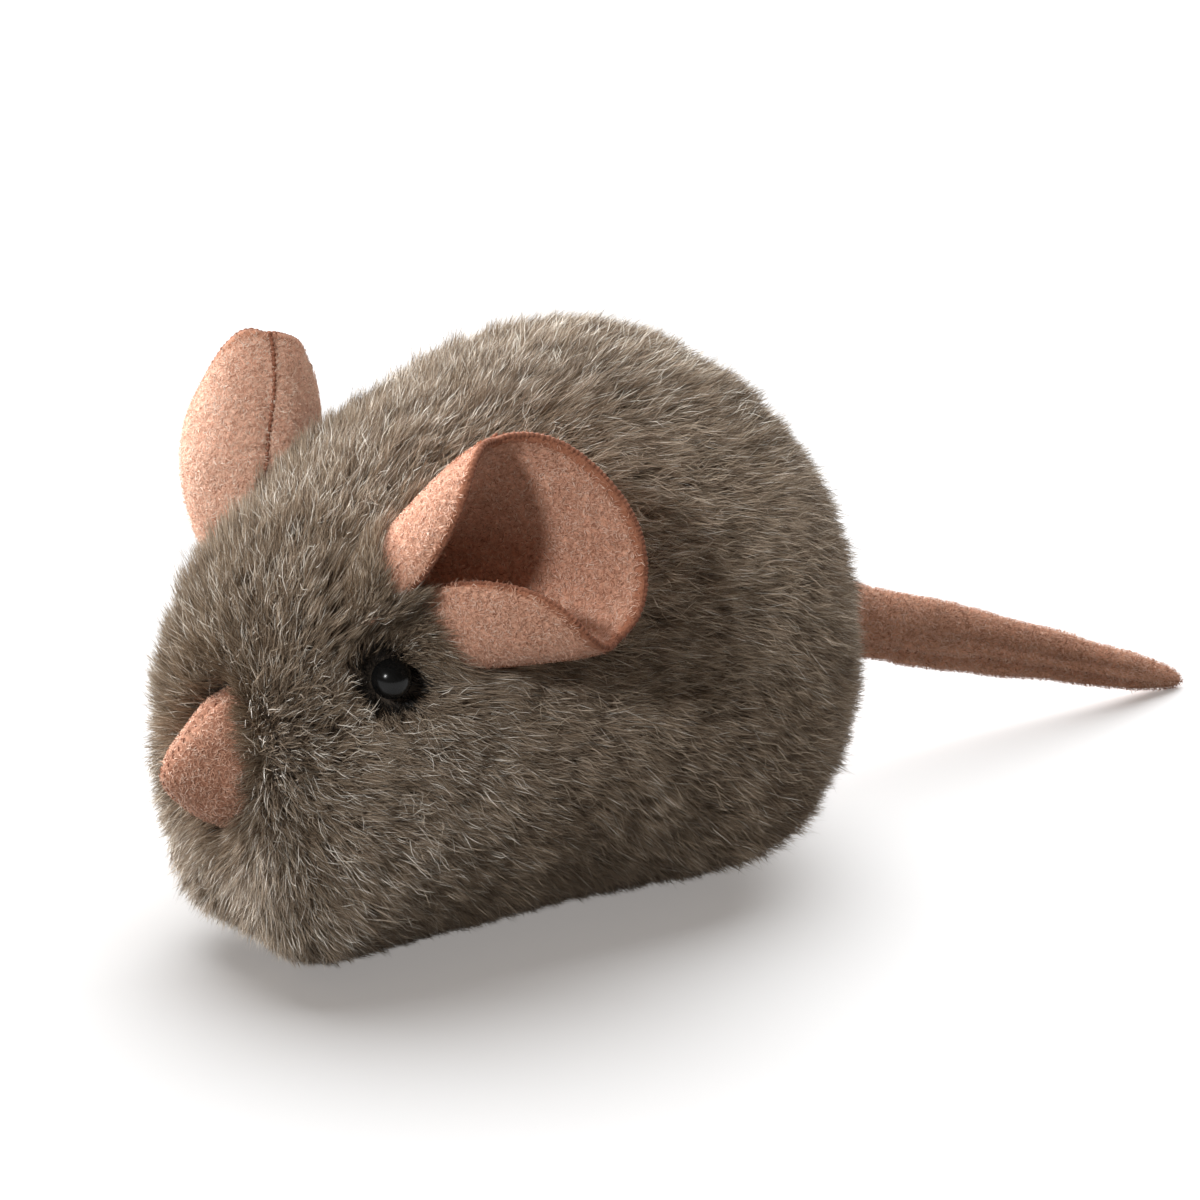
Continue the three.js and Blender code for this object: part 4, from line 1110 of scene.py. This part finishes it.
def anchorStitches():
    s = stitchSettings
    wide = earForm["front"][0] - earForm["lower"][0]
    angles = np.radians(earMiddleDegrees + np.linspace(-0.3, 0.3, s["anchors"]) * wide)
    line = np.cos(angles)[:, None] * earAlong + np.sin(angles)[:, None] * earUp
    start = earApex + line * s["anchorReach"] - earOut * s["anchorDeep"]
    tangent = unit(np.gradient(start, axis=0))
    paths = (start[:, None] + tangent[:, None] * (s["anchorHalf"] * stitchArc)[None, :, None]
             - earOut * (s["anchorArch"] * (1 - stitchArc * stitchArc))[None, :, None])
    return tubes(paths, s["anchorThread"])


def pastRoot(p):
    return np.linalg.norm(p - earApex, axis=1) > earMesh["napFrom"]


for side, own in earSides.items():
    sign = own["sign"]
    mirror = np.array([sign, 1, 1])
    surface = earSurface(own)
    madeEar = {"back": earLayer(side + "EarBack", surface, 1, sign),
               "lining": earLayer(side + "EarLining", surface, -1, sign)}
    wear(madeEar["back"], suede)
    wear(madeEar["lining"], liningSuede)
    for part, (points, faces) in (("stitching", rimStitches(surface)), ("dart_stitching", dartStitches(surface)),
                                  ("anchor_stitches", anchorStitches())):
        name = side + "Ear" + "".join(word.capitalize() for word in part.split("_"))
        madeEar[part] = meshPiece(name, points * mirror, faces[:, ::sign], rustThread)
    places, normal, share = surface
    deep = (earMesh["gap"] + layerThickness(share))[None, :, None]
    naps = {}
    for part, way, strength in (("back", 1, 0.7), ("lining", -1, 0.4)):
        skin, out = (places + way * normal * deep)[:, :-1], way * normal[:, :-1]
        naps[part] = napFibres(f"{side}Ear{part.capitalize()}Nap", skin, out, earMidLine, strength, False,
                               pastRoot, mirror)
    if side == "right":  # the far ear's back is painted lighter: painted light on its lit face
        wear(madeEar["back"], paintedLightSuede)
        wear(naps["back"], paintedLightNap)
    for part, piece in [*madeEar.items(), *naps.items()]:
        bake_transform(piece)
        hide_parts(f"{side}_ear_{part}")

# Fur that stands up over the foot of the near ear, rooted on its outer wall and in its slit
skirtSettings = {"hairs": 16000, "lowerLines": 36, "frontLines": 31, "slitLines": 14, "reach": 24.5, "eyeClear": 5.2,
                 "length": 3.9, "tone": 0.46, "glints": 0.08, "glintTone": 0.97}


def earSkirt(surface):
    s = skirtSettings
    places, normal, _ = surface
    lower, front, edge = s["lowerLines"], s["frontLines"], s["slitLines"]
    slit = np.stack([places[:edge, -1], places[-edge:, -1][::-1]], 1)
    made = []
    for grid, normals in ((places[:lower], normal[:lower]), (places[-front:], normal[-front:]),
                          (slit, np.broadcast_to(earOut, slit.shape))):
        root, n = scatter(grid, normals, s["hairs"])
        reach = np.linalg.norm(root - earApex, axis=1)
        kept = reach < s["reach"] + 3.0 * rng.random(len(root)) + 1.0 * softNoise(root, 3, 71)
        kept &= np.linalg.norm(root - eyeSeat, axis=1) > s["eyeClear"]
        root, n = root[kept], n[kept]
        count = len(root)
        flow = furFlow(root, n)
        way = 0.75 * unit(root - earApex) + 0.5 * flow + 0.45 * n
        way = unit(way + 0.3 * rng.standard_normal((count, 3)))
        root = root + n * (0.9 + 0.9 * rng.random((count, 1)))
        length = s["length"] * (0.6 + 0.6 * rng.random((count, 1)))
        bend = 0.4 * rng.standard_normal((count, 3))
        knee, tip = root + way * length * 0.5 + bend * 0.5, root + unit(way + 0.35 * flow) * length
        flat = unit(np.cross(way, rng.standard_normal((count, 3)))) * furSettings["width"] / 2
        made.append(np.stack([root - 1.0 * way, knee - flat, knee + flat, tip], 1))
    return np.concatenate(made)


skirt = earSkirt(earSurface(earSides["left"]))
tone = np.clip(skirtSettings["tone"] + 0.2 * rng.standard_normal(len(skirt)), 0.11, 0.89)
tone = np.where(rng.random(len(skirt)) < skirtSettings["glints"], skirtSettings["glintTone"], tone)
furPiece("leftEarFur", "left", kiteForm, skirt, tone)
print("ears ready")

# Nose: two suede halves with a sharp ridge, sewn down the middle
noseSettings = {"length": 12.7, "height": 20, "width": 13.5, "tip": 57.2, "rise": 31, "slope": 1.5, "blunt": 0.75,
                "ridge": 1.06, "seamDip": 0.3, "seamWidth": 0.4, "seamGap": 0.02, "back": 2.0, "segments": 96,
                "rings": 64, "stitch": 1.3, "thread": 0.09, "stitchHalf": 0.24, "stitchArch": 0.20, "lean": 0.28,
                "napGrid": 40, "napLay": (0, 0.6, -0.4), "napFrom": 0.45}
noseBase = np.array([0, noseSettings["length"] - noseSettings["tip"], noseSettings["rise"]])


def nosePlaces(share, angle):
    s = noseSettings
    taper = (1 - np.clip(share, 0, 1) ** s["slope"]) ** s["blunt"]
    x = s["width"] / 2 * taper * signedPower(np.cos(angle), s["ridge"])
    z = s["rise"] + s["height"] / 2 * taper * signedPower(np.sin(angle), s["ridge"])
    places = np.stack([x, noseBase[1] - s["length"] * share, z], -1)
    dip = s["seamDip"] * bell(places[:, 0], s["seamWidth"])
    lumps = 0.25 * softNoise(places, 4, 31) + 0.10 * softNoise(places, 1.7, 32)
    return places + unit(places - noseBase) * (lumps * ramp(0.02, 0.5, np.abs(places[:, 0])) - dip)[:, None]


def noseHalf(side, sign):
    s = noseSettings
    name = f"nose{side.capitalize()}Panel"
    piece = newBall(name, s["segments"], s["rings"])
    ball = ballOnY(piece)
    places = nosePlaces(np.maximum(-ball[:, 1], 0), np.arctan2(ball[:, 2], ball[:, 0]))
    behind = ball[:, 1] > 0  # the back half closes in to a point inside the head
    inside = np.sqrt(np.clip(1 - ball[behind, 1] ** 2, 0, 1))[:, None]
    middle = noseBase + [0, s["back"], 0]
    places[behind] = middle + (places[behind] - middle) * inside
    setPlaces(piece, places)
    editMesh(piece, weld, facesOutward, lambda: bpy.ops.mesh.bisect(
        plane_co=(sign * s["seamGap"] * mm, 0, 0), plane_no=(sign, 0, 0), use_fill=True, clear_inner=True))
    smoothFaces(piece)
    wear(piece, noseSuede)
    start = -math.pi / 2 if sign > 0 else math.pi / 2
    grid = skinGrid(nosePlaces, np.linspace(0.02, 0.995, s["napGrid"]),
                    np.linspace(start, start + math.pi, s["napGrid"]))
    nap = napFibres(name + "Nap", grid, outwardNormals(grid, noseBase), s["napLay"], 0.5,
                    keep=lambda p: np.abs(p[:, 0]) > s["napFrom"])
    for made in (piece, nap):
        takePlace(made, "body", f"nose_{side}_panel")


def noseStitches():
    s = noseSettings
    over = np.linspace(0.06, 0.985, 60)
    line = nosePlaces(np.concatenate([over, over[::-1]]), np.repeat([math.pi / 2, -math.pi / 2], 60))
    line[:, 0] = 0
    length = lengthAlong(line)
    stops = np.arange(0.5, length[-1] - 0.5, s["stitch"])
    middle = placesAt(stops, length, line)
    tangent = unit(placesAt(stops + 0.2, length, line) - placesAt(stops - 0.2, length, line))
    out = unit(np.cross(tangent, [1.0, 0, 0]))
    out *= np.sign((out * (middle - noseBase)).sum(-1, keepdims=True))
    lean = s["lean"] * (1 + 0.3 * rng.standard_normal(len(stops)))
    paths = (middle[:, None] + np.array([1.0, 0, 0]) * (s["stitchHalf"] * stitchArc)[None, :, None]
             + out[:, None] * (s["stitchArch"] * (1 - stitchArc * stitchArc))[None, :, None]
             + tangent[:, None] * stitchArc[None, :, None] * lean[:, None, None])
    return tubes(paths, s["thread"])


for side, sign in sides:
    noseHalf(side, sign)
noseThread = meshPiece("noseSeamThread", *noseStitches(), rustThread)
takePlace(noseThread, "body", "nose_seam_thread")
print("nose ready")

# Eyes: glossy beads on shanks
for side, sign in sides:
    s = eyeSettings
    bead = newBall(side + "Eye", s["segments"], s["rings"])
    ball = placesOf(bead)
    across = unit(np.cross(eyeOut, [0, 0, 1.0]))
    over = np.cross(eyeOut, across)
    deep = np.maximum(ball[:, 2:], -s["backShare"])
    form = across * ball[:, :1] + over * ball[:, 1:2] + eyeOut * deep
    places = eyeSeat - eyeOut * s["sink"] + s["radius"] * form
    shank = (np.hypot(ball[:, 0], ball[:, 1]) < s["shankShare"]) & (ball[:, 2] < 0)
    places[shank] -= eyeOut * s["shank"]
    setPlaces(bead, places * [sign, 1, 1])
    editMesh(bead, facesOutward)
    bpy.ops.object.shade_smooth_by_angle(angle=math.radians(40))
    wear(bead, beadFinish)
    takePlace(bead, "body", side + "_eye")
print("eyes ready")

# Tail: a flat tapering suede sleeve with a sewn seam in a groove
tailSettings = {"reach": 78.9, "bend": 3.9, "bendCurve": 2.2, "rootHigh": 5.75, "rootWide": 3.75, "tipHigh": 1.9,
                "tipWide": 1.75, "tipRise": 0.93, "taper": 1.63, "tipShare": 0.092, "seamAngle": -38,
                "groove": 0.95, "grooveWidth": 0.2, "grooveStarts": (0.05, 0.25), "grooveEnds": (0.84, 0.95),
                "fold": 0.5, "foldTurn": 0.75, "foldWidth": 0.22, "foldStarts": (0.3, 0.5), "foldEnds": (0.8, 0.92),
                "floor": 0.2, "sides": 72, "rings": 150, "napRings": 160, "napLay": (0, 1, -0.35), "stitch": 1.7,
                "thread": 0.16}


def tailMiddle(share):
    s = tailSettings
    share = np.clip(share, 0, 1)
    x = s["bend"] * share ** s["bendCurve"]
    z = tailRootAt[2] + (s["tipRise"] - tailRootAt[2]) * share
    return np.stack([x, tailRootAt[1] + s["reach"] * share, z], -1)


def tailPlaces(share, angle, inset):
    s = tailSettings
    thin = np.clip(share, 0, 1) ** s["taper"]
    into = np.clip((share - 1 + s["tipShare"]) / s["tipShare"], 0, 1)
    tip = np.sqrt(1 - into * into)
    rootBall = np.sqrt(np.clip(1 - np.clip(-share * s["reach"] / s["rootHigh"], 0, 1) ** 2, 0, 1))
    heading = unit(tailMiddle(np.maximum(share, 0) + 0.01) - tailMiddle(share - 0.01))
    up = np.stack([0 * share, -heading[:, 2], heading[:, 1]], -1)
    wide = (s["rootWide"] + (s["tipWide"] - s["rootWide"]) * thin - inset) * tip * rootBall
    high = (s["rootHigh"] + (s["tipHigh"] - s["rootHigh"]) * thin - inset) * tip * rootBall
    middle = tailMiddle(share) + heading * (np.minimum(share, 0) * s["reach"])[:, None]
    return middle + np.array([1.0, 0, 0]) * (wide * np.cos(angle))[:, None] + up * (high * np.sin(angle))[:, None]


def seamTurn(share):  # the seam wanders a little round the tail
    line = np.stack([share * 80, 0 * share, 0 * share], -1)
    return math.radians(tailSettings["seamAngle"]) + 0.14 * softNoise(line, 14, 43)


def dent(angle, at, width):
    return bell(np.abs((angle - at + math.pi) % (2 * math.pi) - math.pi), width)


def grooveDepth(share):
    s = tailSettings
    return s["groove"] * inStretch(share, s["grooveStarts"], s["grooveEnds"])


def tailSkin(share, angle):
    s = tailSettings
    seam = seamTurn(share)
    groove = grooveDepth(share) * dent(angle, seam, s["grooveWidth"])
    fold = s["fold"] * inStretch(share, s["foldStarts"], s["foldEnds"])
    fold = fold * dent(angle, seam + s["foldTurn"], s["foldWidth"])
    places = tailPlaces(share, angle, groove + fold)
    creases = 0.5 * softNoise(places * [1, 0.4, 1], 4.5, 41) + 0.25 * softNoise(places, 2.2, 42)
    creases = 0.6 * creases * inStretch(share, (0, 0.06), (0.92, 1))
    places = places + unit(places - tailMiddle(share)) * creases[:, None]
    places[:, 2] = np.maximum(places[:, 2], s["floor"])
    return places


def tailSleeve():
    s = tailSettings
    piece = newBall("tailSleeve", s["sides"], s["rings"])
    ball = placesOf(piece)
    level = np.arccos(np.clip(ball[:, 2], -1, 1)) / math.pi
    back = s["rootHigh"] / s["reach"] * 0.995
    setPlaces(piece, tailSkin(-back + (1 + back) * level, np.arctan2(ball[:, 1], ball[:, 0])))
    editMesh(piece, facesOutward)
    smoothFaces(piece)
    wear(piece, tailSuede)
    shares, turn = np.linspace(0.0, 0.999, s["napRings"]), np.linspace(0, 2 * math.pi, s["sides"], endpoint=False)
    grid = skinGrid(tailSkin, shares, turn)
    normals = outwardNormals(grid, tailMiddle(shares)[:, None], True)
    nap = napFibres("tailNap", grid, normals, s["napLay"], 1.0, True)
    for made in (piece, nap):
        takePlace(made, "tail", "tail_sleeve")


def tailStitches():
    s = tailSettings
    share = np.arange(0.08, 0.9, s["stitch"] / s["reach"])
    spots = [tailPlaces(share + a * 0.004, seamTurn(share) + a * 0.11, grooveDepth(share) - 0.1 * (1 - a * a) + 0.08)
             for a in stitchArc]
    return tubes(np.stack(spots, axis=1), s["thread"])


tailSleeve()
tailThread = meshPiece("tailSeamThread", *tailStitches(), rustThread)
takePlace(tailThread, "tail", "tail_seam_thread")
print("tail ready")

# What is sealed inside: lumpy fibre, the pouch and its leaf
insideSettings = {  # name, finish, slot, mesh size, depth and size of the lumps, body, fill
    "body_filling": ("bodyFilling", fibreFinish, "fibre_filling", 1.6, 0.9, 6, "body", 0.8),
    "nose_filling": ("noseFilling", fibreFinish, "fibre_filling", 0.7, 0.4, 3, "body", 0.8),
    "tail_filling": ("tailFilling", fibreFinish, "fibre_filling", 0.6, 0.3, 3, "tail", 0.8),
    "catnip_pouch": ("catnipPouch", pouchFinish, "pouch_cloth", 0.45, 0.1, 5, "body", None),
    "dried_catnip": ("driedCatnip", leafFinish, "dried_leaf", 0.8, 0.5, 2, "body", 0.8),
}
for node, (name, finish, slotName, voxel, lump, cell, body, fill) in insideSettings.items():
    piece = bpy.data.objects.new(name, frame["nodes"][node].data.copy())
    scene.collection.objects.link(piece)
    editMesh(piece, weld)
    remesh = piece.modifiers.new("even", "REMESH")
    remesh.mode = "VOXEL"
    remesh.voxel_size = voxel * mm
    applyAll(piece)
    places = placesOf(piece) / mm
    normals = np.zeros(len(places) * 3, np.float32)
    piece.data.vertices.foreach_get("normal", normals)
    press = lump * (0.5 + 0.5 * softNoise(places, cell, 51))
    setPlaces(piece, places - normals.reshape(-1, 3) * press[:, None])
    smoothFaces(piece)
    wear(piece, finish)
    takePlace(piece, body, node)

for node, piece in frame["nodes"].items():
    if node.endswith("_washer"):
        wear(piece, washerFinish)
    elif node == "tail_anchor_stitches":
        wear(piece, rustThread)
    elif node.endswith("seam_thread"):
        wear(piece, greyThread)
print("inner pieces ready")
